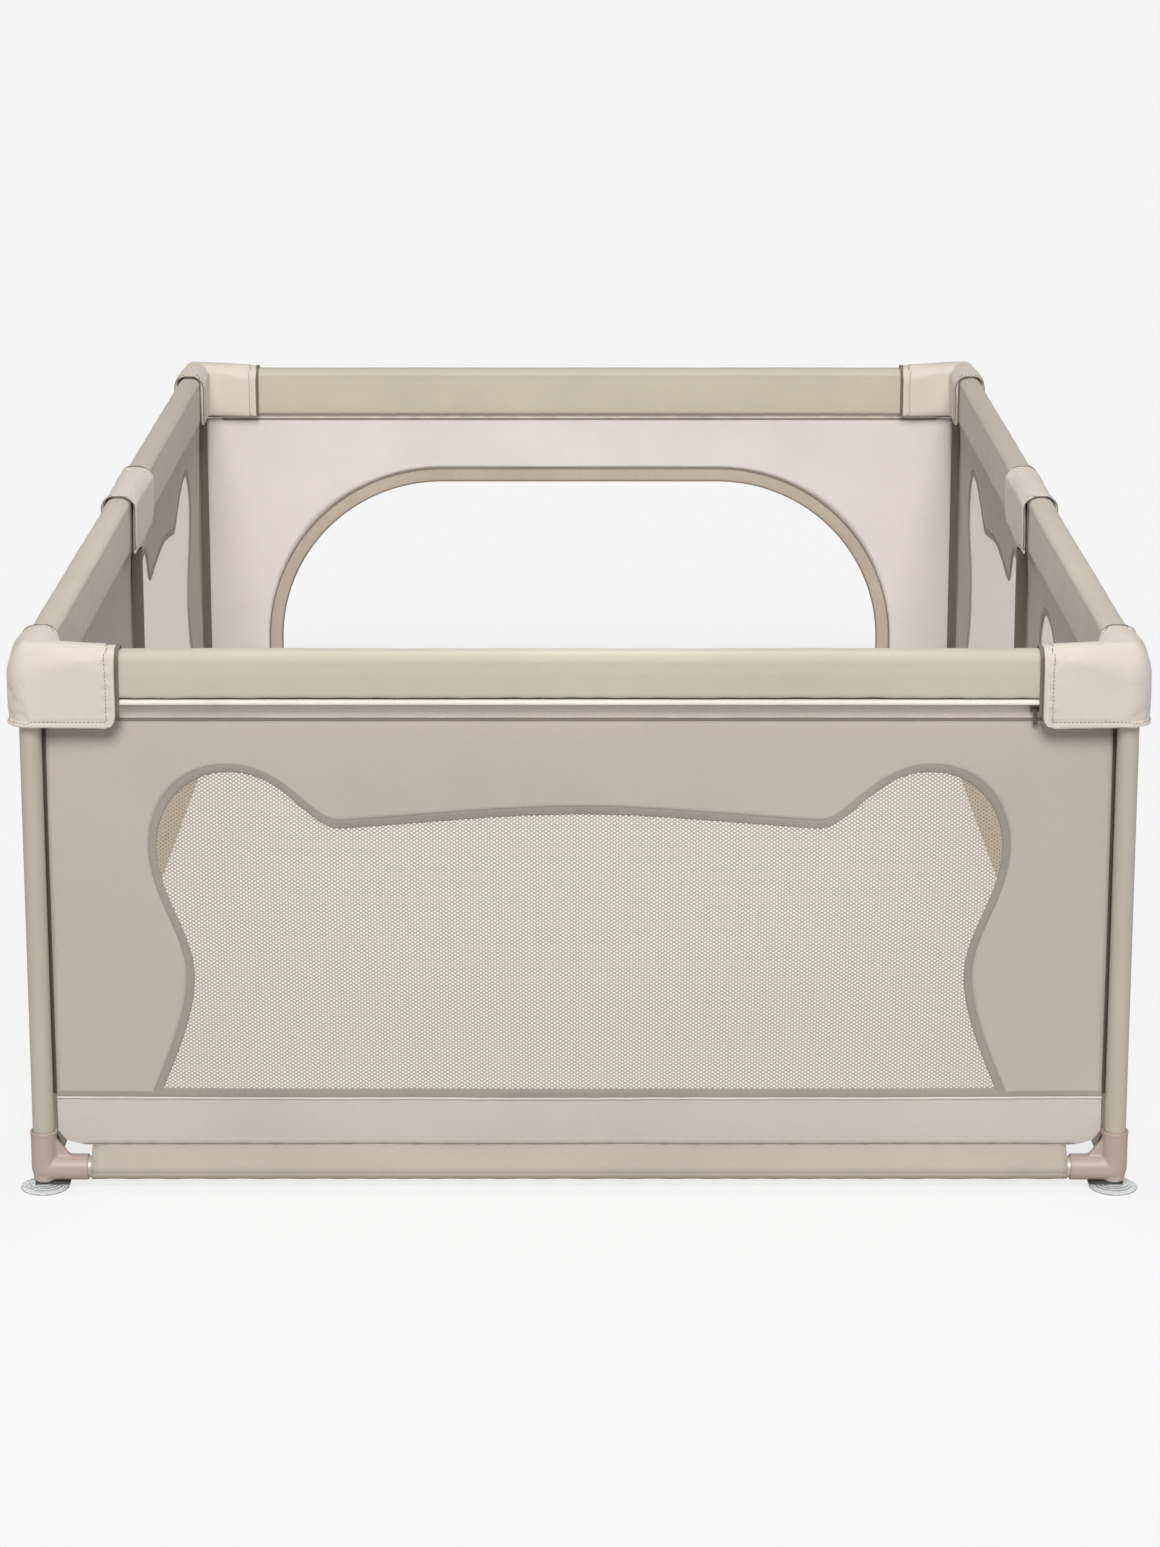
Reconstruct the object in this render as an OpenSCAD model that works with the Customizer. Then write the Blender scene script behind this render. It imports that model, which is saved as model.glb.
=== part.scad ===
// Rectangular baby playpen: six steel posts and two rings of rail tubes in push-on
// plastic connectors, padded top rails, fabric walls with netting windows, and a
// let-down door in the back wall. +X is across the pen, +Y along it, +Z up.
// The front wall faces -Y and the door wall faces +Y.

/* [Pen] */
// Distance across the pen between corner post centres
pen_w = 1242; // [1100:2:1500]
// Distance along the pen between corner post centres
pen_l = 1852; // [1700:2:2200]
// Height of the top rail tubes' centre above the floor
rail_z = 617.5; // [600:0.5:760]
// Height of the bottom rail tubes' centre above the floor
base_z = 25; // [23:0.5:30]

/* [Frame] */
// Outside diameter of the frame tubes
tube_d = 25; // [22:0.5:26]
// Wall thickness of the frame tubes
tube_wall = 0.8; // [0.6:0.1:2]
// Wall thickness of the connector sockets
socket_wall = 2.4; // [1.8:0.1:3]
// Reach of a bottom connector's side arms from the post centre
base_reach = 52; // [46:1:54]
// Height of a bottom connector's post socket above the bottom rail centre
base_rise = 46; // [36:1:60]
// Reach of a top connector's arms from the post centre
top_reach = 40; // [36:1:42]
// Foot of a bottom connector's corner web, along the arm
web_foot = 43; // [30:1:48]
// Height of a bottom connector's corner web, up the post socket
web_height = 52; // [30:1:56]
// Thickness of the corner web
web_t = 8; // [5:0.5:12]

/* [Feet] */
// Radius of a suction cup's rim
cup_r = 28; // [22:0.5:34]
// Radius of a suction cup's stud
stud_r = 4; // [3:0.25:5]
// Depth of the stud's bore in the connector
stud_depth = 12; // [8:0.5:14]
// Reach of a foot pad along each arm from the post centre
pad_reach = 30; // [22:1:40]
// Width of a foot pad
pad_w = 20; // [16:1:26]
// Thickness of a foot pad
pad_t = 3; // [2:0.5:4]

/* [Top rails] */
// Width of a padded rail
rail_w = 34; // [34:0.5:44]
// Height of a padded rail
rail_h = 54; // [48:0.5:60]
// Corner radius of a padded rail's section
rail_round = 14; // [9:0.5:16]
// Edge radius of the rails' lower outer edge, where the sleeve folds in over the zip
rail_fold = 5; // [3:0.5:10]
// Thickness of the rail's fabric sleeve
sleeve_t = 1; // [0.8:0.1:2]
// How far the sleeve's inner side hangs below the foam, over the zip
apron_drop = 19.5; // [14:0.5:22]
// Thickness of that doubled cloth
apron_t = 4; // [2:0.5:5]
// Distance from a post's centre to the end of the padding
rail_start = 44; // [43:1:60]

/* [Corner and middle covers] */
// Thickness of the padded corner covers at their sides
corner_t = 6.7; // [4:0.1:9]
// Thickness of the padded corner covers on top
corner_top_t = 11.2; // [5:0.1:14]
// Reach of a corner cover along each rail from the post centre
corner_reach = 103; // [80:1:130]
// Drop of the corner cover's outer skirt below the rail centre
skirt_out = 60.5; // [50:0.5:75]
// Drop of the corner cover's inner skirt below the rail centre
skirt_in = 49.5; // [46:0.5:54]
// Radius of the outer skirt's lower end corner
skirt_round = 12; // [6:1:18]
// Thickness of the middle covers
mid_t = 4.7; // [3:0.1:6]
// Length of a middle cover along the rail
mid_len = 210; // [150:2:260]
// Drop of the middle cover's inner lapel at its lowest edge
lapel_drop = 61.5; // [55:0.5:66]
// Drop of the lapel at the cover's ends
lapel_side = 50.5; // [47:0.5:55]
// Half length of the lapel's lowest edge
lapel_tip = 12; // [6:1:30]

/* [Walls] */
// Thickness of the wall fabric
wall_t = 2.4; // [1.6:0.1:3]
// Distance that the walls lie inside the post centres
wall_inset = 6; // [5:0.5:7]
// Distance from a post's centre to the wall's upright edge
wall_end = 16.5; // [16:0.25:17]
// Depth from the rail centre down to the wall's top edge
wall_drop = 47.5; // [44:0.5:49]
// Height of the hem band's lower edge above the floor
hem_low = 50; // [47:1:54]
// Height of the hem band's upper edge above the floor
hem_top = 110; // [95:1:111]
// Thickness of the hem band
hem_t = 3.6; // [3.2:0.1:5]
// Distance from a post's centre to the end of the bottom sleeve
sleeve_start = 57; // [55:1:66]
// Wall thickness of the sleeve round the bottom tubes
base_sleeve_t = 1.5; // [1:0.1:2]
// Height of the wall's cut corner above the hem's lower edge
corner_cut = 18; // [14:1:26]
// Thickness of the dark bands that join the walls behind the posts
band_t = 1.6; // [1:0.1:2]

/* [Netting windows] */
// Half width of the front window
front_half = 490; // [420:2:500]
// Half width of each side window
side_half = 370; // [300:2:385]
// Height of the windows' lower edge above the floor
window_low = 112; // [112:1:130]
// Height of the ear tops above the window's lower edge
ear_rise = 398; // [360:1:410]
// The same height in the left side wall at the front
near_rise = 343; // [320:1:410]
// Distance from the widest point in to the ear top
ear_in = 89; // [70:1:110]
// Distance from the widest point in to the notch beside the ear
notch_in = 214; // [190:1:240]
// Depth of the notch below the ear top
notch_drop = 65; // [40:1:80]
// How far the window narrows at its waist
waist_in = 40.5; // [20:0.5:60]
// Width of the binding round a window
binding_w = 8.5; // [6:0.5:12]
// Thickness of the binding
binding_t = 3.4; // [3:0.1:4]
// Thickness of the netting
net_t = 0.8; // [0.6:0.1:1.2]
// Openings across the front window's netting, which stand for its fine mesh
net_columns = 12; // [6:1:12]
// Width of the bars between those openings, as a share of their pitch
net_bar = 0.3; // [0.2:0.05:0.5]

/* [Door] */
// Half width of the door opening
door_half = 485; // [400:1:500]
// Height of the door opening above its sill
door_rise = 340; // [300:1:380]
// Radius of the door opening's upper corners
door_round = 262; // [180:1:275]
// Width of the zip band round the door
door_band_w = 23; // [18:0.5:30]
// Height of the door's sill above the floor
sill_z = 119; // [119:0.5:130]
// Gap between the closed flap and the zip band
door_gap = 1; // [0.8:0.1:2]
// Radius of the piping cord that the flap turns on
piping_r = 1.5; // [1.2:0.1:2]
// Radius of the flap's hem round the piping cord
flap_hem_r = 3.2; // [3:0.1:4]

/* [Zips] */
// Length of a slider
slider_len = 11; // [8:0.5:14]
// Width of a slider
slider_w = 9; // [8:0.5:10]
// Length of a slider's pull tab
tab_len = 19; // [12:0.5:26]

/* [Hidden] */

FIT = 0.1;        // slip fit of a tube in its socket
TURN = 0.06;      // running clearance of studs and piping
SOFT = 0.3;       // clearance between neighbouring pieces
FINE = 64;
EPS = 0.01;

fabric = [0.77, 0.73, 0.68];
cover_fabric = [0.85, 0.81, 0.76];
steel_paint = [0.74, 0.70, 0.64];
pink_plastic = [0.77, 0.70, 0.68];
dark_band = [0.30, 0.26, 0.21];
taupe = [0.62, 0.59, 0.54];

tube_r = tube_d / 2;
socket_r = tube_r + FIT;
conn_r = socket_r + socket_wall;
stop = conn_r + 2;                // socket floor's distance from a connector's centre
foot_z = base_z - conn_r;         // underside of the bottom connectors
half_w = pen_w / 2;
half_l = pen_l / 2;
rail_top = rail_z + rail_h / 2;
rail_low = rail_z - rail_h / 2;
wall_top = rail_z - wall_drop;
face_out = wall_inset - wall_t / 2;   // wall's outer face, inwards of the post centre
face_in = wall_inset + wall_t / 2;
mid_seg = pen_l / 2;              // span of one side wall, corner post to middle post
sleeve_r = tube_r + SOFT + base_sleeve_t;

// piping, zip teeth and the door's swing
piping_z = sill_z + flap_hem_r + 0.4;
flap_half = door_half - door_gap;
flap_len = sill_z + door_rise - door_gap - piping_z;
flap_reach = norm([flap_len, wall_t / 2]);
flap_droop = asin(piping_z / flap_reach) - atan2(wall_t / 2, flap_len);
flap_y = half_l - wall_inset + flap_reach * cos(flap_droop - atan2(wall_t / 2, flap_len));
front_y = half_l + max(rail_w / 2 + SOFT + corner_t, cup_r);
// The origin is the middle of the floor area that the pen and its lowered door cover
origin_y = (flap_y - front_y) / 2;

zip_z = rail_low - 14;            // zip teeth under the rail cover
net_pitch = 2 * (front_half - binding_w) / net_columns;
teeth_r = 1.5;
neck_w = 1.4;
door_teeth = door_half + 4;       // zip teeth on the door band
pull_w = 5;
pull_t = 1.2;

// name, centre, turn about Z and span of each wall segment
SEGMENTS = [
    ["front", [0, -half_l], 0, pen_w],
    ["back", [0, half_l], 180, pen_w],
    ["left_front", [-half_w, -half_l / 2], -90, mid_seg],
    ["left_back", [-half_w, half_l / 2], -90, mid_seg],
    ["right_front", [half_w, -half_l / 2], 90, mid_seg],
    ["right_back", [half_w, half_l / 2], 90, mid_seg],
];
// place and turn of each corner, whose two arms then point along +X and +Y
CORNERS = [
    [[-half_w, -half_l], 0], [[half_w, -half_l], 90],
    [[half_w, half_l], 180], [[-half_w, half_l], 270],
];
// place and turn of each middle post, whose inside then faces +X
MIDDLES = [[[-half_w, 0], 0], [[half_w, 0], 180]];
POSTS = concat(CORNERS, MIDDLES);

// ---- placing -------------------------------------------------------------

module at_segment(i) {
    translate([SEGMENTS[i][1][0], SEGMENTS[i][1][1] - origin_y, 0])
        rotate([0, 0, SEGMENTS[i][2]]) children();
}

module at_post(i) {
    translate([POSTS[i][0][0], POSTS[i][0][1] - origin_y, 0])
        rotate([0, 0, POSTS[i][1]]) children();
}

// ---- outlines ------------------------------------------------------------

// Point at t on a cubic Bezier curve with control points c
function bezier(c, t) =
    pow(1 - t, 3) * c[0] + 3 * t * pow(1 - t, 2) * c[1]
    + 3 * t * t * (1 - t) * c[2] + t * t * t * c[3];

// Points along a curve, without its last one
function along(c, steps) = [for (i = [0 : steps - 1]) bezier(c, i / steps)];

function reversed(p) = [for (i = [len(p) - 1 : -1 : 0]) p[i]];
function unit(v) = v / norm(v);

// A closed anticlockwise outline moved inwards by d
function inset(p, d) = [
    for (i = [0 : len(p) - 1])
        let (a = unit(p[i] - p[(i + len(p) - 1) % len(p)]),
             b = unit(p[(i + 1) % len(p)] - p[i]),
             m = unit([-a[1] - b[1], a[0] + b[0]]))
        p[i] + m * d / (m * [-a[1], a[0]])
];

// Whether a point lies inside a closed line, which crosses the level to its right an odd
// number of times
function inside(p, line) = len([
    for (i = [0 : len(line) - 1])
        let (a = line[i], b = line[(i + 1) % len(line)])
        if ((a[1] > p[1]) != (b[1] > p[1])
            && p[0] < a[0] + (b[0] - a[0]) * (p[1] - a[1]) / (b[1] - a[1])) 1
]) % 2 == 1;

// Right half of a window: cut-in waist, rounded ear, notch and shallow arch
function window_half(w, rise) = let (
        low = window_low, ear_z = low + rise, notch_z = ear_z - notch_drop,
        waist_z = low + rise * 0.375, bulge_z = low + rise * 0.756)
    concat(
        along([[w + 4, low], [w - 16, low + 48], [w - waist_in, waist_z - 46],
               [w - waist_in, waist_z]], 6),
        along([[w - waist_in, waist_z], [w - waist_in, waist_z + 49],
               [w, bulge_z - 58], [w, bulge_z]], 6),
        along([[w, bulge_z], [w, bulge_z + 57], [w - ear_in + 49, ear_z],
               [w - ear_in, ear_z]], 8),
        along([[w - ear_in, ear_z], [w - ear_in - 63, ear_z + 4],
               [w - notch_in + 28, notch_z + 5], [w - notch_in, notch_z]], 8),
        along([[w - notch_in, notch_z], [(w - notch_in) * 0.82, notch_z + 2],
               [(w - notch_in) * 0.36, notch_z + 17], [0, notch_z + 17]], 6));

function window_outline(w, rise) = let (half = window_half(w, rise)) concat(
    half, [[0, window_low + rise - notch_drop + 17]],
    [for (p = reversed(half)) [-p[0], p[1]]]);

// Half width and rise of the window in a wall segment
function window_size(i) = [i == 0 ? front_half : side_half,
                           i == 2 ? near_rise : ear_rise];

function window_line(i) = window_outline(window_size(i)[0], window_size(i)[1]);

// Door arch of half width w and corner radius r, from z0 up to z1
module arch(w, r, z0, z1) {
    translate([-w, z0]) square([2 * w, z1 - r - z0]);
    translate([-w + r, z0]) square([2 * (w - r), z1 - z0]);
    intersection() {
        for (s = [-1, 1])
            translate([s * (w - r), z1 - r]) circle(r = r, $fn = FINE);
        translate([-w, z1 - r - EPS]) square([2 * w, r + 2 * EPS]);
    }
}

// A slab standing in the wall's plane, t thick about distance y inwards
module upright(y, t) {
    translate([0, y + t / 2, 0]) rotate([90, 0, 0]) linear_extrude(height = t) children();
}

// A profile of (outward-negative distance, height) carried along the wall, of length l
module run_along(l, x = 0) {
    translate([x - l / 2, 0, 0]) rotate([90, 0, 90]) linear_extrude(height = l) children();
}

module rounded(w, h, r) {
    square([w - 2 * r, h], center = true);
    square([w, h - 2 * r], center = true);
    for (x = [-1, 1], y = [-1, 1])
        translate([x * (w / 2 - r), y * (h / 2 - r)]) circle(r = r, $fn = FINE);
}

// ---- frame ---------------------------------------------------------------

module tube(l) {
    difference() {
        cylinder(r = tube_r, h = l, $fn = FINE);
        translate([0, 0, -EPS]) cylinder(r = tube_r - tube_wall, h = l + 2 * EPS, $fn = FINE);
    }
}

module post(i) {
    z0 = base_z + stop + SOFT;
    color(steel_paint) at_post(i) translate([0, 0, z0]) tube(rail_z - stop - SOFT - z0);
}

module rail_tubes(z) {
    color(steel_paint) for (i = [0 : len(SEGMENTS) - 1]) at_segment(i) {
        l = SEGMENTS[i][3] - 2 * (stop + SOFT);
        translate([-l / 2, 0, z]) rotate([0, 90, 0]) tube(l);
    }
}

module top_rail_tubes() { rail_tubes(rail_z); }
module bottom_rail_tubes() { rail_tubes(base_z); }

// Arms lie at the given angles; a ball rounds the outside where two arms meet squarely,
// and a collar stands round the post socket's mouth
module base_connector(i, angles) {
    collar = 0.8;
    color(pink_plastic) at_post(i) translate([0, 0, base_z]) difference() {
        union() {
            if (angles[0] == 0) sphere(r = conn_r, $fn = FINE);
            cylinder(r = conn_r, h = base_rise, $fn = FINE);
            translate([0, 0, base_rise - 4]) cylinder(r = conn_r + collar, h = 4, $fn = FINE);
            translate([0, 0, -conn_r]) cylinder(r = conn_r - 2, h = conn_r, $fn = FINE);
            for (a = angles) rotate([0, 0, a]) {
                rotate([0, 90, 0]) cylinder(r = conn_r, h = base_reach, $fn = FINE);
                rotate([90, 0, 0]) linear_extrude(height = web_t, center = true)
                    polygon([[0, 0], [web_foot, 0], [0, web_height]]);
            }
        }
        translate([0, 0, stop]) cylinder(r = socket_r, h = base_rise + 20, $fn = FINE);
        for (a = angles) rotate([0, 0, a])
            translate([stop, 0, 0]) rotate([0, 90, 0])
                cylinder(r = socket_r, h = base_reach, $fn = FINE);
        translate([0, 0, -conn_r - 1]) cylinder(r = stud_r + TURN, h = stud_depth + 1, $fn = FINE);
    }
}

module top_connector(i, angles) {
    at_post(i) translate([0, 0, rail_z]) difference() {
        union() {
            if (angles[0] == 0) sphere(r = conn_r, $fn = FINE);
            translate([0, 0, -top_reach]) cylinder(r = conn_r, h = top_reach, $fn = FINE);
            for (a = angles) rotate([0, 0, a])
                rotate([0, 90, 0]) cylinder(r = conn_r, h = top_reach, $fn = FINE);
        }
        translate([0, 0, -top_reach - 1])
            cylinder(r = socket_r, h = top_reach + 1 - stop, $fn = FINE);
        for (a = angles) rotate([0, 0, a])
            translate([stop, 0, 0]) rotate([0, 90, 0])
                cylinder(r = socket_r, h = top_reach, $fn = FINE);
    }
}

module top_connectors() {
    color(pink_plastic) {
        for (i = [0 : 3]) top_connector(i, [0, 90]);
        for (i = [4, 5]) top_connector(i, [90, 270]);
    }
}

// ---- feet ----------------------------------------------------------------

cup_top = foot_z - pad_t - 2 * SOFT;

// Dished rim, domed skirt, neck and the stud that turns in the connector
module suction_cup(i) {
    neck = stud_r + 5;
    color([0.9, 0.92, 0.92, 0.5]) at_post(i) rotate_extrude($fn = 96) polygon(concat(
        [[0, cup_top - 3.2], [neck, cup_top - 3.6], [cup_r - 1.8, 0], [cup_r, 0], [cup_r, 1.2]],
        along([[cup_r - 0.6, 1.8], [cup_r - 7, cup_top - 3], [neck + 8, cup_top - 1],
               [neck, cup_top]], 8),
        [[neck, cup_top], [stud_r, cup_top], [stud_r, foot_z + stud_depth - 1],
         [0, foot_z + stud_depth - 1]]));
}

// Rubber pads under the connectors' arms: bent at the corners, straight at the middles
module foot_pads() {
    color([0.25, 0.24, 0.23]) for (i = [0 : len(POSTS) - 1]) at_post(i)
        translate([0, 0, foot_z - SOFT - pad_t]) linear_extrude(height = pad_t) difference() {
            union() for (a = i < 4 ? [0, 90] : [90, 270]) rotate([0, 0, a])
                translate([-pad_w / 2, -pad_w / 2]) square([pad_reach + pad_w / 2, pad_w]);
            circle(r = stud_r + SOFT, $fn = FINE);
        }
}

// ---- padded top rails ----------------------------------------------------

module rail_foam() {
    w = rail_w - 2 * (sleeve_t + 0.2);
    h = rail_h - 2 * (sleeve_t + 0.2);
    color([0.9, 0.88, 0.82]) for (i = [0 : len(SEGMENTS) - 1]) at_segment(i)
        translate([0, 0, rail_z]) run_along(SEGMENTS[i][3] - 2 * rail_start) difference() {
            rounded(w, h, rail_round - sleeve_t - 0.2);
            circle(r = tube_r + 0.2, $fn = FINE);
        }
}

module rail_cover(i) {
    color(fabric) at_segment(i)
        translate([0, 0, rail_z]) run_along(SEGMENTS[i][3] - 2 * rail_start) difference() {
            union() {
                rounded(rail_w, rail_h, rail_round);
                offset(r = rail_fold) offset(delta = -rail_fold)
                    translate([-rail_w / 2, -rail_h / 2]) square([rail_w / 2, rail_h / 2]);
                translate([rail_w / 2 - apron_t, -rail_h / 2 - apron_drop])
                    square([apron_t, apron_drop + rail_round]);
            }
            rounded(rail_w - 2 * sleeve_t, rail_h - 2 * sleeve_t, rail_round - sleeve_t);
        }
}

// Quarter-round topped half section: width c, from height low up to top
module shoulder(c, top, r, low) {
    translate([0, low]) square([c, top - r - low]);
    translate([0, low]) square([c - r, top - low]);
    translate([c - r, top - r]) intersection() {
        circle(r = r, $fn = FINE);
        square(r);
    }
}

hollow_c = rail_w / 2 + SOFT;
hollow_top = rail_top + SOFT;
hollow_r = rail_round + SOFT;

// One leg of a saddle over a rail: outside towards -Y, inside towards +Y
module saddle_leg(l, c, top, r, low_out, low_in) {
    rotate([90, 0, 90]) linear_extrude(height = l) {
        mirror([1, 0]) shoulder(c, top, r, low_out);
        shoulder(c, top, r, low_in);
    }
}

module corner_cover(i) {
    c = hollow_c + corner_t;
    top = hollow_top + corner_top_t;
    r = hollow_r + corner_t;
    low_out = rail_z - skirt_out;
    low_in = rail_z - skirt_in;
    color(cover_fabric) at_post(i) difference() {
        union() {
            saddle_leg(corner_reach, c, top, r, low_out, low_in);
            mirror([1, -1, 0]) saddle_leg(corner_reach, c, top, r, low_out, low_in);
            rotate([0, 0, 180]) rotate_extrude(angle = 90, $fn = FINE) shoulder(c, top, r, low_out);
        }
        saddle_leg(corner_reach + 1, hollow_c, hollow_top, hollow_r, low_out - 1, low_out - 1);
        mirror([1, -1, 0])
            saddle_leg(corner_reach + 1, hollow_c, hollow_top, hollow_r, low_out - 1, low_out - 1);
        rotate([0, 0, 180]) rotate_extrude(angle = 90, $fn = FINE)
            shoulder(hollow_c, hollow_top, hollow_r, low_out - 1);
        for (m = [0, 1]) mirror([m, -m, 0]) skirt_corner(low_out);
    }
}

// What is cut off the outer skirt's lower end to round it
module skirt_corner(low) {
    translate([corner_reach - skirt_round, -hollow_c + EPS, low]) rotate([90, 0, 0])
        linear_extrude(height = corner_t + 1) difference() {
            translate([0, -1]) square([skirt_round + 1, skirt_round + 1]);
            translate([0, skirt_round]) circle(r = skirt_round, $fn = FINE);
        }
}

// Saddle over the middle of a side rail, with a lapel that hangs inside the pen
module middle_cover(i) {
    c = hollow_c + mid_t;
    r = hollow_r + mid_t;
    low_out = rail_z - skirt_out;
    low_in = rail_z - lapel_drop;
    side = rail_z - lapel_side;
    color(cover_fabric) at_post(i) difference() {
        translate([0, mid_len / 2, 0]) rotate([0, 0, -90])
            saddle_leg(mid_len, c, hollow_top + mid_t, r, low_out, low_in);
        translate([0, mid_len / 2 + 1, 0]) rotate([0, 0, -90])
            saddle_leg(mid_len + 2, hollow_c, hollow_top, hollow_r, low_in - 1, low_in - 1);
        for (s = [-1, 1]) translate([hollow_c - 1, 0, 0]) rotate([90, 0, 90])
            linear_extrude(height = mid_t + 2) polygon([
                [s * lapel_tip, low_in], [s * mid_len / 2, side],
                [s * (mid_len / 2 + 1), side], [s * (mid_len / 2 + 1), low_in - 1],
                [s * lapel_tip, low_in - 1]]);
    }
}

// ---- fabric walls --------------------------------------------------------

// Lower corners are cut back on a slope to clear the bottom connectors
module wall_sheet(span, low, top) {
    h = span / 2;
    slope = (sleeve_start - wall_end) / corner_cut;
    cut_z = hem_low + corner_cut;
    x_low = max(wall_end, wall_end + (cut_z - low) * slope);
    polygon([
        [-h + x_low, low], [h - x_low, low], [h - wall_end, cut_z], [h - wall_end, top],
        [-h + wall_end, top], [-h + wall_end, cut_z]]);
}

// Teardrop of fabric round the bottom tube, drawn up into the wall
module base_sleeve_2d() {
    apex = [-wall_inset, hem_low - base_z];
    d = norm(apex);
    spread = acos(sleeve_r / d);
    lean = atan2(apex[1], apex[0]);
    difference() {
        union() {
            circle(r = sleeve_r, $fn = FINE);
            polygon([
                [0, 0],
                sleeve_r * [cos(lean - spread), sin(lean - spread)], apex,
                sleeve_r * [cos(lean + spread), sin(lean + spread)]]);
        }
        circle(r = tube_r + SOFT, $fn = FINE);
    }
}

module wall_solid(span) {
    sleeve_top = base_z + sleeve_r - 2;
    upright(wall_inset, wall_t) wall_sheet(span, hem_low, wall_top);
    upright(wall_inset, hem_t) wall_sheet(span, hem_low, hem_top);
    upright(wall_inset, wall_t)
        translate([-span / 2 + sleeve_start, sleeve_top])
            square([span - 2 * sleeve_start, hem_low - sleeve_top + EPS]);
    translate([0, 0, base_z]) run_along(span - 2 * sleeve_start) mirror([1, 0]) base_sleeve_2d();
    translate([0, wall_inset - hem_t / 2 + 0.4, hem_top - 1])
        rotate([0, 90, 0]) cylinder(r = 1.6, h = span - 2 * wall_end, center = true, $fn = 24);
}

module window_wall(i) {
    color(fabric) at_segment(i) difference() {
        wall_solid(SEGMENTS[i][3]);
        upright(wall_inset, 20) polygon(window_line(i));
    }
}

module front_wall() { window_wall(0); }
module left_front_wall() { window_wall(2); }
module left_back_wall() { window_wall(3); }
module right_front_wall() { window_wall(4); }
module right_back_wall() { window_wall(5); }

module back_wall() {
    w = door_half + door_band_w + 0.2;
    r = door_round + door_band_w + 0.2;
    color(fabric) at_segment(1) difference() {
        wall_solid(SEGMENTS[1][3]);
        upright(wall_inset, 20) arch(w, r, sill_z, sill_z + door_rise + door_band_w + 0.2);
    }
}

// Dark bands behind the posts join each wall to the next, above the hems
module wall_joining_bands() {
    low = hem_top + SOFT;
    color(dark_band) {
        for (i = [0 : 3]) at_post(i) post_band(low, wall_top)
            translate([face_in, face_in]) square(3 * wall_end);
        for (i = [4, 5]) at_post(i) post_band(low, rail_z - lapel_drop - 2)
            translate([face_in, -1.5 * wall_end]) square(3 * wall_end);
    }
}

// Part of a ring round the post that lies inside the pen, seated on the walls' edges
module post_band(low, top) {
    r = norm([wall_end, face_in]);
    translate([0, 0, low]) linear_extrude(height = top - low) intersection() {
        difference() {
            circle(r = r + band_t, $fn = FINE);
            circle(r = r, $fn = FINE);
        }
        children();
    }
}

module net(i) {
    line = inset(window_line(i), binding_w + net_bar * net_pitch / 2);
    color([0.83, 0.80, 0.76, 0.7]) at_segment(i) upright(wall_inset, net_t) difference() {
        polygon(inset(window_line(i), binding_w + 0.4));
        intersection() {
            polygon(line);
            net_openings(window_size(i), line);
        }
    }
}

// Square openings in rows up from the window's foot, where at least half of one has room
module net_openings(size, line) {
    columns = floor(2 * (size[0] - binding_w) / net_pitch + 0.01);
    for (c = [0 : columns - 1], r = [0 : floor(size[1] / net_pitch)]) {
        place = [(c - (columns - 1) / 2) * net_pitch,
                 window_low + binding_w + (r + 0.5) * net_pitch];
        if (inside(place, line)) translate(place) square((1 - net_bar) * net_pitch, center = true);
    }
}

module front_net() { net(0); }
module left_front_net() { net(2); }
module left_back_net() { net(3); }
module right_front_net() { net(4); }
module right_back_net() { net(5); }

module window_bindings() {
    color(taupe) for (i = [0, 2, 3, 4, 5]) at_segment(i) upright(wall_inset, binding_t) {
        difference() {
            polygon(inset(window_line(i), 0.2));
            polygon(inset(window_line(i), binding_w + 0.2));
        }
    }
}

// ---- rail zips -----------------------------------------------------------

// Tape between wall and rail, the rolled lip over it, and a row of teeth
module rail_zip_tapes() {
    lip = 3;
    lip_z = rail_low - 1.2 - lip;
    lip_out = rail_w / 2 - lip - 0.2;
    color([0.78, 0.74, 0.70]) for (i = [0 : len(SEGMENTS) - 1]) at_segment(i)
        run_along(SEGMENTS[i][3] - 2 * rail_start) {
            translate([face_out, wall_top + SOFT])
                square([wall_t, rail_low - SOFT - wall_top - SOFT]);
            translate([-lip_out, lip_z - lip]) square([face_out + lip_out + EPS, 2 * lip]);
            translate([-lip_out, lip_z]) circle(r = lip, $fn = 32);
            teeth_2d();
        }
}

module teeth_2d() {
    translate([face_out - 2.6, zip_z - neck_w / 2]) square([2.6 + EPS, neck_w]);
    translate([face_out - 2.6, zip_z]) circle(r = teeth_r, $fn = 32);
}

// Slider clipped round the teeth, with its pull tab hanging in front
module rail_slider(i) {
    rest = SEGMENTS[i][3] / 2 - corner_reach - 3;
    front = face_out - 2.6 - teeth_r - 2.4;
    color([0.45, 0.41, 0.36]) at_segment(i) {
        run_along(slider_len, rest) difference() {
            translate([front, zip_z - slider_w / 2])
                square([face_out - SOFT - front, slider_w]);
            translate([face_out - 2.6, zip_z]) circle(r = teeth_r + SOFT, $fn = 32);
            translate([face_out - 2.6, zip_z - neck_w / 2 - SOFT])
                square([3, neck_w + 2 * SOFT]);
        }
        pull_tab(rest, front, zip_z);
    }
}

module pull_tab(x, front, z) {
    translate([x - pull_w / 2, front - pull_t - 0.6, z - tab_len])
        cube([pull_w, pull_t, tab_len]);
    translate([x - 1.5, front - 0.6 - EPS, z - 4]) cube([3, 0.6 + 2 * EPS, 4]);
}

// ---- door ----------------------------------------------------------------

band_t_door = 3.4;
door_face = wall_inset - band_t_door / 2;    // band's outer face
head_t = 1.5;
neck_t = 1.9;
tab_x0 = door_half + 0.2;
tab_x1 = door_half + 15;

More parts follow.
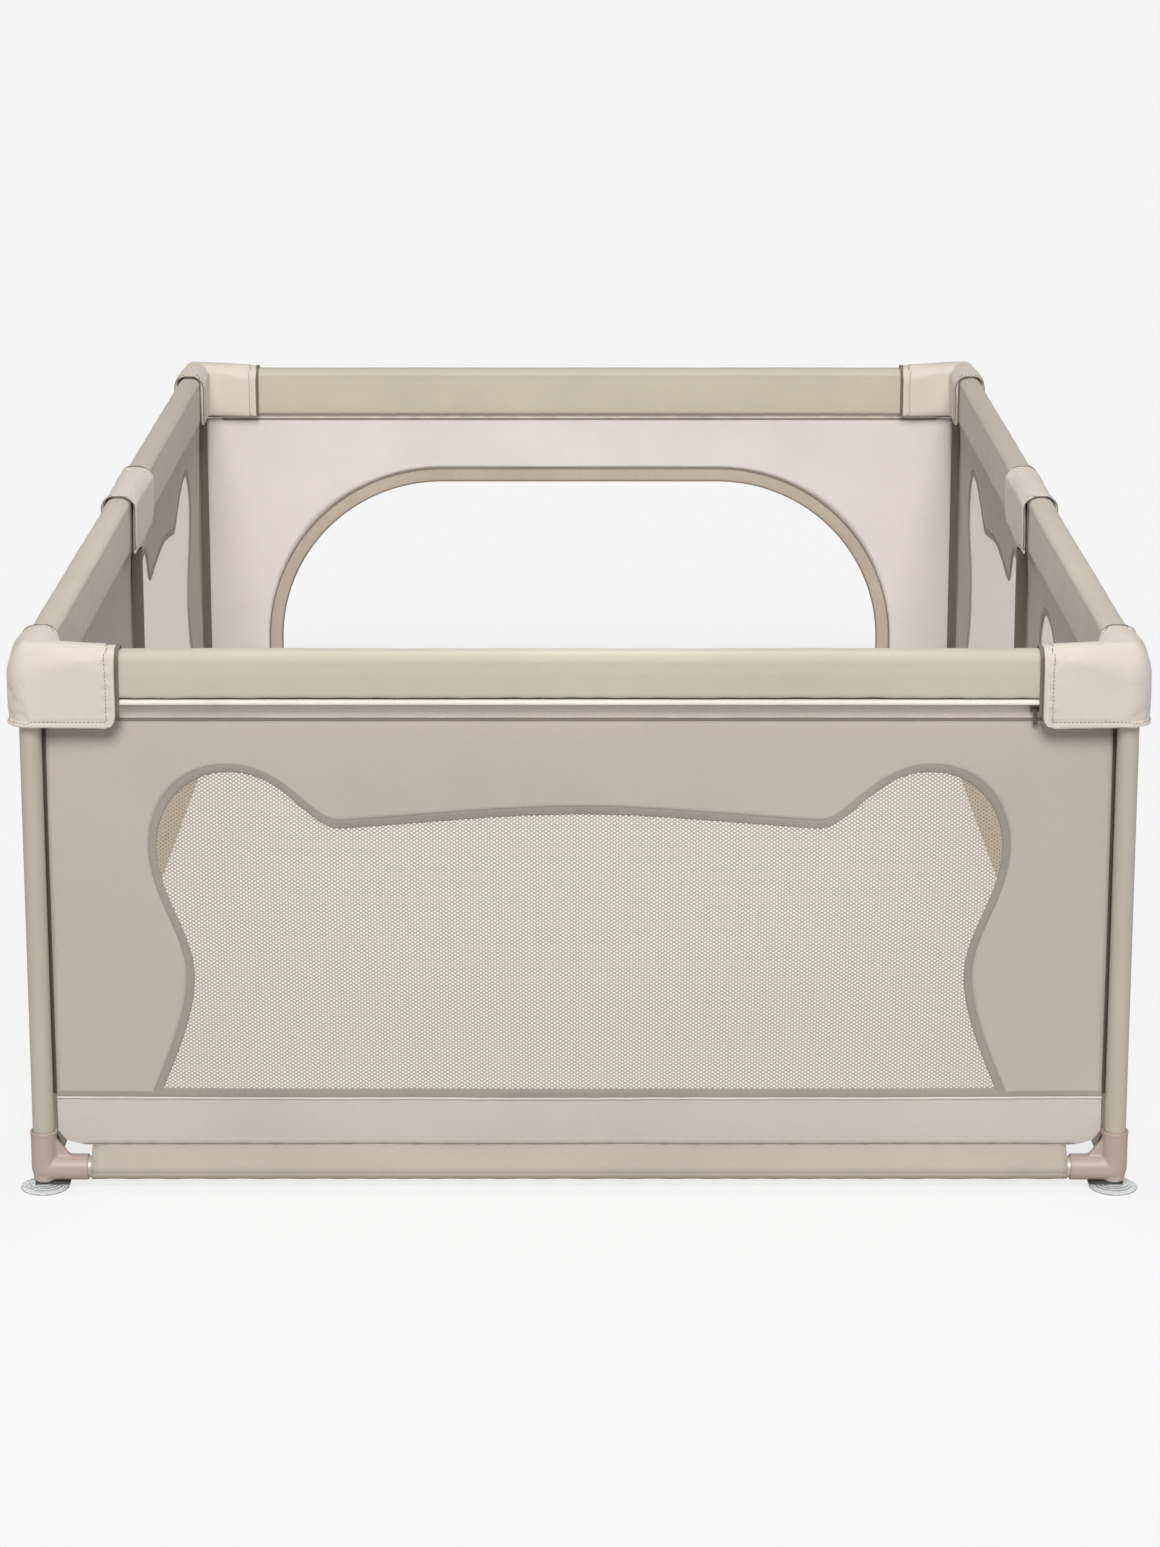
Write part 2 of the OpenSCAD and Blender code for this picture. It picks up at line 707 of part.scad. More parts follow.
module arch_ring(inner, outer) {
    difference() {
        arch(outer, door_round + outer - door_half, sill_z + 0.2, sill_z + door_rise + outer - door_half);
        arch(inner, door_round + inner - door_half, sill_z - 1, sill_z + door_rise + inner - door_half);
    }
}

// Arched band with its raised teeth, and a bored tab at each foot for the piping
module door_zip_band() {
    tab_h = 2 * (piping_z - sill_z - 0.2);
    color([0.72, 0.66, 0.60]) at_segment(1) difference() {
        union() {
            upright(wall_inset, band_t_door) arch_ring(door_half, door_half + door_band_w);
            upright(door_face - neck_t / 2 + EPS, neck_t)
                arch_ring(door_teeth - neck_w / 2, door_teeth + neck_w / 2);
            upright(door_face - neck_t - head_t / 2 + EPS, head_t)
                arch_ring(door_teeth - teeth_r, door_teeth + teeth_r);
            for (s = [-1, 1])
                translate([s * (tab_x0 + tab_x1) / 2, wall_inset, sill_z + 0.2 + tab_h / 2])
                    cube([tab_x1 - tab_x0, 2 * flap_hem_r + 0.4, tab_h], center = true);
        }
        translate([0, wall_inset, piping_z]) rotate([0, 90, 0])
            cylinder(r = piping_r + TURN, h = 2 * tab_x1 + 2, center = true, $fn = FINE);
    }
}

module door_hinge_piping() {
    color(taupe) at_segment(1) translate([0, wall_inset, piping_z]) rotate([0, 90, 0])
        cylinder(r = piping_r, h = 2 * (tab_x1 - 1), center = true, $fn = FINE);
}

// Flap hemmed round the piping; it hangs outside until its edge is on the floor
module door_flap() {
    color(fabric) at_segment(1)
        translate([0, wall_inset, piping_z]) rotate([90 + flap_droop, 0, 0]) difference() {
            union() {
                upright(0, wall_t)
                    arch(flap_half, door_round - door_gap, 0, flap_len);
                rotate([0, 90, 0]) cylinder(r = flap_hem_r, h = 2 * flap_half, center = true,
                                            $fn = FINE);
            }
            rotate([0, 90, 0]) cylinder(r = piping_r + TURN, h = 2 * flap_half + 2, center = true,
                                        $fn = FINE);
        }
}

// side is 1 for the pen's left, as the back wall faces +Y
module door_slider(side) {
    z0 = sill_z + 2 * (piping_z - sill_z) + 3;
    front = door_face - neck_t - head_t - SOFT - 1.5;
    color([0.45, 0.41, 0.36]) at_segment(1) translate([side * door_teeth, 0, 0]) {
        translate([0, 0, z0]) linear_extrude(height = slider_len) difference() {
            translate([-slider_w / 2 + 0.3, front])
                square([slider_w, door_face - SOFT - front]);
            translate([-teeth_r - SOFT, door_face - neck_t - head_t - SOFT])
                square([2 * (teeth_r + SOFT), head_t + 2 * SOFT]);
            translate([-neck_w / 2 - SOFT, door_face - neck_t - 1])
                square([neck_w + 2 * SOFT, neck_t + 2]);
        }
        pull_tab(0, front, z0 + slider_len - 3);
    }
}

post(0);  // front_left_post
post(1);  // front_right_post
post(2);  // back_right_post
post(3);  // back_left_post
post(4);  // middle_left_post
post(5);  // middle_right_post
base_connector(0, [0, 90]);  // front_left_base_connector
base_connector(1, [0, 90]);  // front_right_base_connector
base_connector(2, [0, 90]);  // back_right_base_connector
base_connector(3, [0, 90]);  // back_left_base_connector
base_connector(4, [90, 270]);  // middle_left_base_connector
base_connector(5, [90, 270]);  // middle_right_base_connector
top_connectors();
top_rail_tubes();
bottom_rail_tubes();
suction_cup(0);  // front_left_suction_cup
suction_cup(1);  // front_right_suction_cup
suction_cup(2);  // back_right_suction_cup
suction_cup(3);  // back_left_suction_cup
suction_cup(4);  // middle_left_suction_cup
suction_cup(5);  // middle_right_suction_cup
foot_pads();
rail_foam();
rail_cover(0);  // front_rail_cover
rail_cover(1);  // back_rail_cover
rail_cover(2);  // left_front_rail_cover
rail_cover(3);  // left_back_rail_cover
rail_cover(4);  // right_front_rail_cover
rail_cover(5);  // right_back_rail_cover
corner_cover(0);  // front_left_corner_cover
corner_cover(1);  // front_right_corner_cover
corner_cover(2);  // back_right_corner_cover
corner_cover(3);  // back_left_corner_cover
middle_cover(4);  // middle_left_cover
middle_cover(5);  // middle_right_cover
front_wall();
back_wall();
left_front_wall();
left_back_wall();
right_front_wall();
right_back_wall();
wall_joining_bands();
front_net();
left_front_net();
left_back_net();
right_front_net();
right_back_net();
window_bindings();
rail_zip_tapes();
rail_slider(0);  // front_zip_slider
rail_slider(1);  // back_zip_slider
rail_slider(2);  // left_front_zip_slider
rail_slider(3);  // left_back_zip_slider
rail_slider(4);  // right_front_zip_slider
rail_slider(5);  // right_back_zip_slider
door_zip_band();
door_flap();
door_hinge_piping();
door_slider(1);  // door_slider_left
door_slider(-1);  // door_slider_right
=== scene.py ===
"""Rectangular baby playpen: padded top rails on a steel frame, fabric walls with netting
windows, and an arched zipped door let down behind the back wall. Metres, +Y towards the back."""

import math

import bmesh
import bpy
import numpy as np
from mathutils.bvhtree import BVHTree
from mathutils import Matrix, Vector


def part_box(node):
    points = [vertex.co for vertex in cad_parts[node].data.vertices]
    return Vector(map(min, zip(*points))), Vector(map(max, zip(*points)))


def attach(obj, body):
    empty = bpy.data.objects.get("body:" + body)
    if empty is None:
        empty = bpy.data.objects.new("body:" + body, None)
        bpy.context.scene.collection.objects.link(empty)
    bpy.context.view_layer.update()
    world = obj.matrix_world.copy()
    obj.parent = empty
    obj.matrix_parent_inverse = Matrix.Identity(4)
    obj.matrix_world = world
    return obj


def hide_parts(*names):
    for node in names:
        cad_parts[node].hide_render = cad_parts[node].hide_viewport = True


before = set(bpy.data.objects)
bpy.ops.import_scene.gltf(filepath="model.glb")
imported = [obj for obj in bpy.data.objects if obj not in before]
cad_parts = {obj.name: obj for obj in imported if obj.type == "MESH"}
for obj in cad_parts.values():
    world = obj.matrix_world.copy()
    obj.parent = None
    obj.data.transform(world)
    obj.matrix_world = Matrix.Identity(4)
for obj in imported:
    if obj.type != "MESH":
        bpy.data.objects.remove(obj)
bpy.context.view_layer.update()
MM = 0.001

# ---- Studio ----------------------------------------------------------------
# A pale floor that runs out of sight under a dim even dome, with one broad soft lamp high
# in front and a long one hung over the pen. The camera stands 4 m in front and 1.66 m up.

BACKDROP = 0.93        # linear level at which the camera sees the pale surroundings
DOME = 0.30            # level of the light that comes from all round
KEY = 2.4              # strength of the lamp in front
OVERHEAD = 5.0         # watts of the lamp over the pen
FLOOR_TONE = 0.60      # share of the light that the floor throws back
FLOOR_SHADE = 0.35     # share of the floor's own shading that the camera sees
FLOOR_GLOW = 1.15      # level at which the camera sees the rest of the floor
FLOOR_HALF, FLOOR_DROP = 60.0, 0.4 * MM
KEY_BREADTH, KEY_TILT = 25, 48        # degrees
LENS, SHIFT, LOOK_DOWN = 85.91, -0.15, 12.53
ASIDE, STAND_OFF, EYE = 0.0008, 4.0300, 1.6646     # the camera from the front posts' line


def centre(node):
    """Middle of a CAD node's box."""
    low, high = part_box(node)
    return (np.array(low) + np.array(high)) / 2


half_w = centre("front_right_post")[0]
front_y = centre("front_left_post")[1]
middle_y = centre("middle_left_post")[1]
back_y = centre("back_left_post")[1]

scene = bpy.context.scene
scene.view_settings.view_transform = "Standard"

camera_data = bpy.data.cameras.new("camera")
camera_data.lens = LENS
camera_data.shift_y = SHIFT
camera = bpy.data.objects.new("camera", camera_data)
camera.location = (ASIDE, front_y - STAND_OFF, EYE)
camera.rotation_euler = (math.radians(90 - LOOK_DOWN), 0, 0)
scene.collection.objects.link(camera)
scene.camera = camera


def add(tree, kind, inputs=(), **settings):
    """A node with its settings; inputs are (socket, value or socket to link) pairs."""
    made = tree.nodes.new("ShaderNode" + kind)
    for key, value in settings.items():
        setattr(made, key, value)
    for socket, value in inputs:
        if isinstance(value, bpy.types.NodeSocket):
            tree.links.new(value, made.inputs[socket])
        else:
            made.inputs[socket].default_value = value
    return made


def in_view(tree, share=1.0):
    """A share where the camera looks, straight or through clear plastic, and 0 elsewhere."""
    path = add(tree, "LightPath")
    seen = add(tree, "Math", [(0, path.outputs["Is Camera Ray"]),
                              (1, path.outputs["Is Transmission Ray"])], use_clamp=True)
    return add(tree, "Math", [(0, seen.outputs[0]), (1, share)], operation="MULTIPLY").outputs[0]


world = bpy.data.worlds.new("dome")
scene.world = world
world.use_nodes = True
tree = world.node_tree
tree.nodes.clear()
lit = add(tree, "Background", [("Color", (DOME, DOME, DOME, 1))])
pale = add(tree, "Background", [("Color", (BACKDROP, BACKDROP, BACKDROP, 1))])
mixed = add(tree, "MixShader", [(0, in_view(tree)), (1, lit.outputs[0]), (2, pale.outputs[0])])
add(tree, "OutputWorld", [("Surface", mixed.outputs[0])])

key_data = bpy.data.lights.new("key", "SUN")
key_data.energy = KEY
key_data.angle = math.radians(KEY_BREADTH)
key = bpy.data.objects.new("key", key_data)
key.rotation_euler = (math.radians(KEY_TILT), 0, 0)
scene.collection.objects.link(key)

overhead_data = bpy.data.lights.new("overhead", "AREA")
overhead_data.shape = "RECTANGLE"
overhead_data.size, overhead_data.size_y = 0.4, 0.9
overhead_data.energy = OVERHEAD
overhead = bpy.data.objects.new("overhead", overhead_data)
overhead.location = (0, middle_y - 0.55, 1.45)
scene.collection.objects.link(overhead)

floor_mesh = bpy.data.meshes.new("floor")
floor_mesh.from_pydata([(x * FLOOR_HALF, y * FLOOR_HALF, 0) for x, y in ((-1, -1), (1, -1), (1, 1), (-1, 1))],
                       [], [(0, 1, 2, 3)])
floor = bpy.data.objects.new("floor", floor_mesh)
floor.location = (0, 0, -FLOOR_DROP)
scene.collection.objects.link(floor)
floor_finish = bpy.data.materials.new("floor_white")
floor_finish.use_nodes = True
tree = floor_finish.node_tree
tree.nodes.clear()
shaded_floor = add(tree, "BsdfDiffuse", [("Color", (FLOOR_TONE, FLOOR_TONE, FLOOR_TONE, 1))])
white_floor = add(tree, "Emission", [("Color", (1, 1, 1, 1)), ("Strength", FLOOR_GLOW)])
mixed = add(tree, "MixShader", [(0, in_view(tree, 1 - FLOOR_SHADE)), (1, shaded_floor.outputs[0]),
                                (2, white_floor.outputs[0])])
add(tree, "OutputMaterial", [("Surface", mixed.outputs[0])])
floor_mesh.materials.append(floor_finish)

# ---- Steel frame -----------------------------------------------------------
# Six upright posts of 25 mm tube, powder coated beige, with plain tubes between them at
# the top and bottom. The coat is satin and faintly pebbled.


def srgb(red, green, blue):
    """Linear colour of a display colour, 0 to 255."""
    c = np.array([red, green, blue]) / 255
    return (*np.where(c <= 0.04045, c / 12.92, ((c + 0.055) / 1.055) ** 2.4).tolist(), 1)


def shaded(colour, factor):
    """A colour made lighter or darker."""
    return (*[min(1.0, c * factor) for c in colour[:3]], 1)


def finish(name, colour, roughness, **sockets):
    """A Principled material, its node tree and its shader."""
    made = bpy.data.materials.new(name)
    made.use_nodes = True
    shader = made.node_tree.nodes["Principled BSDF"]
    shader.inputs["Base Color"].default_value = colour
    shader.inputs["Roughness"].default_value = roughness
    for socket, value in sockets.items():
        shader.inputs[socket.replace("_", " ")].default_value = value
    return made, made.node_tree, shader


def grained(name, colour, roughness, scale, spread, bump, depth, **sockets):
    """A material whose colour is shaded, by its spread, with fine noise times a slow one, and whose
    surface the fine noise lifts by its depth."""
    made, tree, shader = finish(name, colour, roughness, **sockets)
    place = add(tree, "TexCoord").outputs["Object"]
    fine = add(tree, "TexNoise", [("Vector", place), ("Scale", scale), ("Detail", 3.0)])
    slow = add(tree, "TexNoise", [("Vector", place), ("Scale", 9.0), ("Detail", 2.0)])
    both = add(tree, "Math", [(0, fine.outputs["Fac"]), (1, slow.outputs["Fac"]), (2, 0.25)],
               operation="MULTIPLY_ADD")
    tone = add(tree, "Mix", [(0, both.outputs[0]), (6, shaded(colour, 1 - spread)),
                             (7, shaded(colour, 1 + spread))], data_type="RGBA")
    tree.links.new(tone.outputs[2], shader.inputs["Base Color"])
    raised = add(tree, "Bump", [("Height", fine.outputs["Fac"]), ("Strength", bump),
                                ("Distance", depth)])
    tree.links.new(raised.outputs[0], shader.inputs["Normal"])
    return made


def dress(node, material):
    """Gives a CAD node that stays in view its material."""
    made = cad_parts[node]
    made.data.materials.clear()
    made.data.materials.append(material)


PLACES = ["front_left", "front_right", "back_right", "back_left", "middle_left", "middle_right"]

coat = grained("powder_coat", srgb(204, 195, 179), 0.42, 1400.0, 0.05, 0.25, 0.2 * MM, Metallic=0.35)
for place in PLACES:
    dress(place + "_post", coat)
for node in ("top_rail_tubes", "bottom_rail_tubes"):
    dress(node, coat)

# ---- Connectors ------------------------------------------------------------
# Moulded connectors of pinkish beige plastic take the tubes in push-fit sockets, with a
# web across each corner. Their edges are softened as moulded plastic is. The upper six
# are hidden under the padded covers.

MOULD_VOXEL, MOULD_ROUNDS = 1.7 * MM, 3        # how finely and how far the edges are softened


def place_piece(made, body, slot, *nodes):
    """The piece moves with a CAD body and stands for CAD nodes, which are hidden; its slot is not used."""
    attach(made, body)
    if nodes:
        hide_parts(*nodes)
    return made


def new_object(name, mesh, material):
    """An object of a mesh in one material."""
    made = bpy.data.objects.new(name, mesh)
    mesh.materials.clear()
    mesh.materials.append(material)
    scene.collection.objects.link(made)
    return made


def softened(name, node, material):
    """A CAD node's shape rebuilt in even small faces, whose edges are then smoothed."""
    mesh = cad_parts[node].data.copy()
    made = new_object(name, mesh, material)
    shape = bmesh.new()
    shape.from_mesh(mesh)
    bmesh.ops.remove_doubles(shape, verts=shape.verts, dist=0.01 * MM)
    shape.to_mesh(mesh)
    shape.free()
    remesh = made.modifiers.new("even", "REMESH")
    remesh.mode = "VOXEL"
    remesh.voxel_size = MOULD_VOXEL
    smooth = made.modifiers.new("soft", "SMOOTH")
    smooth.factor = 0.5
    smooth.iterations = MOULD_ROUNDS
    settle(made)
    return made


def settle(made):
    """Applies a piece's modifiers to its mesh, shaded smooth."""
    view = bpy.context.evaluated_depsgraph_get()
    mesh = bpy.data.meshes.new_from_object(made.evaluated_get(view))
    made.modifiers.clear()
    made.data = mesh
    mesh.shade_smooth()


plastic = grained("moulded_plastic", srgb(183, 164, 154), 0.42, 900.0, 0.03, 0.2, 0.15 * MM)
for place in PLACES:
    node = place + "_base_connector"
    elbow = softened(node + "_moulding", node, plastic)
    place_piece(elbow, "pen", "connector_plastic", node)
dress("top_connectors", plastic)

# ---- Feet ------------------------------------------------------------------
# A dark rubber pad lies under each connector's arms, and a clear soft vinyl suction cup
# turns on a stud below. The cup's skirt has fine raised rings, as moulded ones have.

CUP_RINGS = 5
CUP_RING_RISE = 0.25 * MM
CUP_TOP, CUP_STUD = 6.4 * MM, 4 * MM       # top of the skirt, and the stud's radius
MERGE = 0.001 * MM             # points closer than this become one


def surface(name, grid, material, round_u=False, round_v=False, capped=None):
    """A mesh over a grid of points, one four-sided face to a cell. It closes on itself in u or v
    where round_ says so. Its ends are shut by one face each ("fan"), or, where v goes out and comes
    back beside itself, by a strip of faces. Its Cloth map holds lengths in metres."""
    rows, columns = grid.shape[:2]
    index = np.arange(rows * columns).reshape(rows, columns)
    along = np.concatenate([grid, grid[:1]]) if round_u else grid
    across = np.concatenate([grid, grid[:, :1]], 1) if round_v else grid
    u = np.r_[0, np.cumsum(np.linalg.norm(np.diff(along, axis=0), axis=2).mean(1))]
    v = np.r_[0, np.cumsum(np.linalg.norm(np.diff(across, axis=1), axis=2).mean(0))]
    if round_u:
        index = np.vstack([index, index[:1]])
    if round_v:
        index = np.hstack([index, index[:, :1]])
    lengths = np.stack(np.meshgrid(u, v, indexing="ij"), -1)

    def cells(a):
        """The four corners of each cell of a grid of values."""
        return np.stack([a[:-1, :-1], a[1:, :-1], a[1:, 1:], a[:-1, 1:]], 2)

    faces = cells(index).reshape(-1, 4).tolist()
    spread = cells(lengths).reshape(-1, 2)
    ends = []
    for row in (index[0, :columns], index[-1, :columns]):
        half = columns // 2
        back = row[::-1]
        ends += {"fan": [row.tolist()], None: [],
                 "strip": np.stack([row[:half - 1], row[1:half], back[1:half], back[:half - 1]], 1).tolist()
                 }[capped]
    faces += ends
    spread = np.vstack([spread, np.zeros((sum(map(len, ends)), 2))])
    mesh = bpy.data.meshes.new(name)
    mesh.from_pydata(grid.reshape(-1, 3), [], faces)
    mesh.uv_layers.new(name="Cloth").data.foreach_set("uv", spread.astype(np.float32).ravel())
    tidy(mesh)
    return new_object(name, mesh, material)


def tidy(mesh):
    """Merges points that coincide, turns the faces outwards and shades them smooth."""
    shape = bmesh.new()
    shape.from_mesh(mesh)
    bmesh.ops.remove_doubles(shape, verts=shape.verts, dist=MERGE)
    bmesh.ops.dissolve_degenerate(shape, edges=shape.edges, dist=MERGE)
    bmesh.ops.recalc_face_normals(shape, faces=shape.faces)
    shape.to_mesh(mesh)
    shape.free()
    mesh.shade_smooth()
    mesh.set_sharp_from_angle(angle=math.radians(50))


def ring(sides):
    """Angles of a full turn in equal steps."""
    return np.linspace(0, 2 * math.pi, sides, endpoint=False)


def turned(profile, middle):
    """Grid of an (r, z) profile turned about a vertical axis."""
    angle = ring(96)[:, None]
    return np.stack([middle[0] + profile[:, 0] * np.cos(angle),
                     middle[1] + profile[:, 0] * np.sin(angle),
                     np.broadcast_to(profile[:, 1], (len(angle), len(profile)))], -1)


def cup_profile(rim, top, high, stud):
    """Closed (r, z) outline: the dish below, the rim, a skirt that sweeps up to the neck with
    raised rings on it, and the stud that turns in the connector."""
    neck = stud + 5 * MM
    t = np.linspace(0, 1, 60)
    r = rim - (rim - neck) * t
    skirt = 1.6 * MM + (top - 1.6 * MM) * np.sin(t * math.pi / 2) ** 1.4
    skirt += CUP_RING_RISE * np.cos(2 * math.pi * CUP_RINGS * t) * np.sin(math.pi * t)
    dish = np.linspace(0, 1, 16)
    below_r = (rim - 1.4 * MM) * dish
    below = (top - 3.2 * MM) * (1 - dish ** 2)
    lip = np.linspace(-math.pi / 2, math.pi / 2, 7)[1:-1]
    return np.vstack([
        np.c_[below_r, below],
        np.c_[rim - 0.8 * MM + 0.8 * MM * np.cos(lip), 0.8 * MM + 0.8 * MM * np.sin(lip)],
        np.c_[r[1:], skirt[1:]],
        [[stud, top + 0.05 * MM], [stud, high - 0.6 * MM], [stud - 0.6 * MM, high], [0, high]]])


vinyl, tree, shader = finish("clear_vinyl", (0.90, 0.92, 0.92, 1), 0.10, Transmission_Weight=0.82, IOR=1.42)
haze = add(tree, "TexNoise", [("Vector", add(tree, "TexCoord").outputs["Object"]), ("Scale", 260.0)])
cloudy = add(tree, "MapRange", [("Value", haze.outputs["Fac"]), (3, 0.08), (4, 0.22)])
tree.links.new(cloudy.outputs[0], shader.inputs["Roughness"])
for place in PLACES:
    node = place + "_suction_cup"
    low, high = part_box(node)
    rim = (high.x - low.x) / 2
    profile = cup_profile(rim, CUP_TOP, high.z, CUP_STUD)
    cup = surface(node + "_moulding", turned(profile, centre(node)[:2]), vinyl, round_u=True)
    place_piece(cup, node, "clear_vinyl", node)

rubber = grained("pad_rubber", srgb(74, 70, 66), 0.7, 700.0, 0.12, 0.4, 0.2 * MM)
dress("foot_pads", rubber)

# ---- Wall cloth ------------------------------------------------------------
# Six panels of woven polyester, stretched from rail to rail just inside the posts and cut
# out for a netting window or the door. Sewing at the top and the hem draws the cloth into
# faint puckers.

WALLS = {   # middle of the wall's line, its turn about Z, half its span
    "front": ((0, front_y), 0, half_w),
    "back": ((0, back_y), 180, half_w),
    "left_front": ((-half_w, (front_y + middle_y) / 2), -90, (middle_y - front_y) / 2),
    "left_back": ((-half_w, (back_y + middle_y) / 2), -90, (back_y - middle_y) / 2),
    "right_front": ((half_w, (front_y + middle_y) / 2), 90, (middle_y - front_y) / 2),
    "right_back": ((half_w, (back_y + middle_y) / 2), 90, (back_y - middle_y) / 2),
}
WALL_INSET = centre("front_net")[1] - front_y
WALL_END = 16.5 * MM           # post centre to the cloth's upright edge
WALL_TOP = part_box("rail_zip_tapes")[0].z - 7 * MM
HEM_LOW, HEM_TOP = 50 * MM, 108.5 * MM
HEM_THICK = 3.6 * MM
SLEEVE_START = 57 * MM         # post centre to the bottom sleeve's end
CUT_HIGH = 18 * MM             # height of the hem's rounded lower corner
CLOTH = 1.6 * MM
BILLOW = {wall: 0.8 * MM if wall == "back" else 8 * MM for wall in WALLS}
LEAN, WAVE, PUCKER = 10 * MM, 0.22 * MM, 0.35 * MM
OUTLINE_STEP, BINDING_STEP = 7 * MM, 8 * MM        # between points round an opening

WINDOW_LOW = 112 * MM
EAR_RISE, NEAR_RISE = 398 * MM, 343 * MM
EAR_IN, NOTCH_IN, WAIST_IN = 89 * MM, 214 * MM, 40.5 * MM
NOTCH_DROP, ARCH_RISE = 65 * MM, 17 * MM
FRONT_WINDOW, SIDE_WINDOW = 490 * MM, 370 * MM     # half widths

DOOR_LOW = 119 * MM
DOOR_HALF, DOOR_RISE, DOOR_ROUND = 485 * MM, 340 * MM, 262 * MM
DOOR_BAND = 23 * MM


def placed(origin, turn, x, y, z):
    """Points given as x and y from an origin, turned about Z by some degrees, and up."""
    c, s = math.cos(math.radians(turn)), math.sin(math.radians(turn))
    x, y, z = np.broadcast_arrays(x, y, z)
    return np.stack([origin[0] + x * c - y * s, origin[1] + x * s + y * c, z], -1)


def at_wall(wall, x, y, z):
    """Points given along the wall, inwards from the posts' line, and up."""
    return placed(*WALLS[wall][:2], x, y, z)


def drape(wall, x, z):
    """How far in the cloth lies: a slow billow, a lean outwards on all but the back that grows away
    from the top seam, the hem and the ends, four random waves, and puckers that die away from the top
    seam and from the hem."""
    half = WALLS[wall][2]
    chance = np.random.default_rng(sum(map(ord, wall)))
    y = WALL_INSET - BILLOW[wall] * np.cos(math.pi * x / (2 * half)) * np.sin(
        math.pi * (z - HEM_LOW) / (WALL_TOP - HEM_LOW))
    if wall != "back":
        lean = (1 - np.exp(-(WALL_TOP - z) / 0.060)) * np.clip((z - HEM_LOW) / 0.30, 0, 1)
        y = y - LEAN * lean * (1 - (x / half) ** 8)
    for _ in range(4):
        turn, length, phase = chance.uniform(0, math.pi), chance.uniform(0.09, 0.28), chance.uniform(0, 6.3)
        y = y + WAVE * np.sin(2 * math.pi * (x * math.cos(turn) + z * math.sin(turn)) / length + phase)
    for seam, side, pitch, reach in ((WALL_TOP, -1, 0.052, 0.045), (HEM_TOP, 1, 0.041, 0.030)):
        fade = np.exp(-np.abs(z - seam) / reach) * (side * (z - seam) >= -0.002)
        wander = np.sin(2 * math.pi * x / 0.31 + chance.uniform(0, 6.3))
        y = y + PUCKER * fade * np.sin(2 * math.pi * x / pitch + 2.2 * wander)
    return y


def bezier(points, t):
    """A cubic curve at each t."""
    a, b, c, d = (np.array(p, float) for p in points)
    t = t[:, None]
    return (1 - t) ** 3 * a + 3 * t * (1 - t) ** 2 * b + 3 * t ** 2 * (1 - t) * c + t ** 3 * d


def evenly(points, step):
    """The same line with its points a step apart."""
    far = np.r_[0, np.cumsum(np.linalg.norm(np.diff(points, axis=0), axis=1))]
    at = np.linspace(0, far[-1], max(2, round(far[-1] / step) + 1))
    return np.c_[np.interp(at, far, points[:, 0]), np.interp(at, far, points[:, 1])]


def window_size(wall):
    """A window's half width, and the height of its ears; those of the left front wall are lower."""
    return (FRONT_WINDOW if wall == "front" else SIDE_WINDOW,
            NEAR_RISE if wall == "left_front" else EAR_RISE)


def window_edge(half, rise):
    """Right half of a window as two (x, z) lines of cubic curves: its side, with the cut-in waist and
    the rounded ear's outer half, and its top, over the ear, down to the notch and along the shallow
    arch. The lengths of the curves' handles set how full each bend is."""
    waist_z = WINDOW_LOW + 0.375 * rise
    bulge_z = WINDOW_LOW + 0.756 * rise
    ear_top = WINDOW_LOW + rise
    notch_top = ear_top - NOTCH_DROP
    arch_top = notch_top + ARCH_RISE
    waist, ear, notch = half - WAIST_IN, half - EAR_IN, half - NOTCH_IN
    t = np.linspace(0, 1, 40)
    low = bezier([(half + 4 * MM, WINDOW_LOW), (half - 16 * MM, WINDOW_LOW + 48 * MM),
                  (waist, waist_z - 46 * MM), (waist, waist_z)], t)
    high = bezier([(waist, waist_z), (waist, waist_z + 49 * MM), (half, bulge_z - 58 * MM),
                   (half, bulge_z)], t)
    round_ear = [(half, bulge_z), (half, bulge_z + 57 * MM), (ear + 49 * MM, ear_top), (ear, ear_top)]
    inner_ear = bezier([(ear, ear_top), (ear - 63 * MM, ear_top + 4 * MM),
                        (notch + 28 * MM, notch_top + 5 * MM), (notch, notch_top)], t)
    arch = bezier([(notch, notch_top), (0.82 * notch, notch_top + 2 * MM),
                   (0.36 * notch, arch_top), (0, arch_top)], t)
    return (np.vstack([low, high[1:], bezier(round_ear, t / 2)[1:]]),
            np.vstack([bezier(round_ear, 0.5 + t / 2), inner_ear[1:], arch[1:]]))


def door_edge(half, high, radius):
    """Right half of the door's arch as its side, up to the middle of the round corner, and its top."""
    t = np.linspace(0, math.pi / 4, 20)
    corner = np.array([half - radius, high - radius])
    side = corner + radius * np.c_[np.cos(t), np.sin(t)]
    top = corner + radius * np.c_[np.cos(t + math.pi / 4), np.sin(t + math.pi / 4)]
    return np.vstack([[(half, DOOR_LOW)], side]), np.vstack([top, [(0, high)]])


def whole(side, top):
    """The closed outline from its right half, from the lower right corner round to the left."""
    right = np.vstack([side, top[1:]])
    left = right[::-1][1:] * (-1, 1)
    foot = right[0] * (-1, 1)
    bottom = foot + np.linspace(0, 1, 60)[1:-1, None] * (right[0] - foot)
    return np.vstack([right, left, bottom])


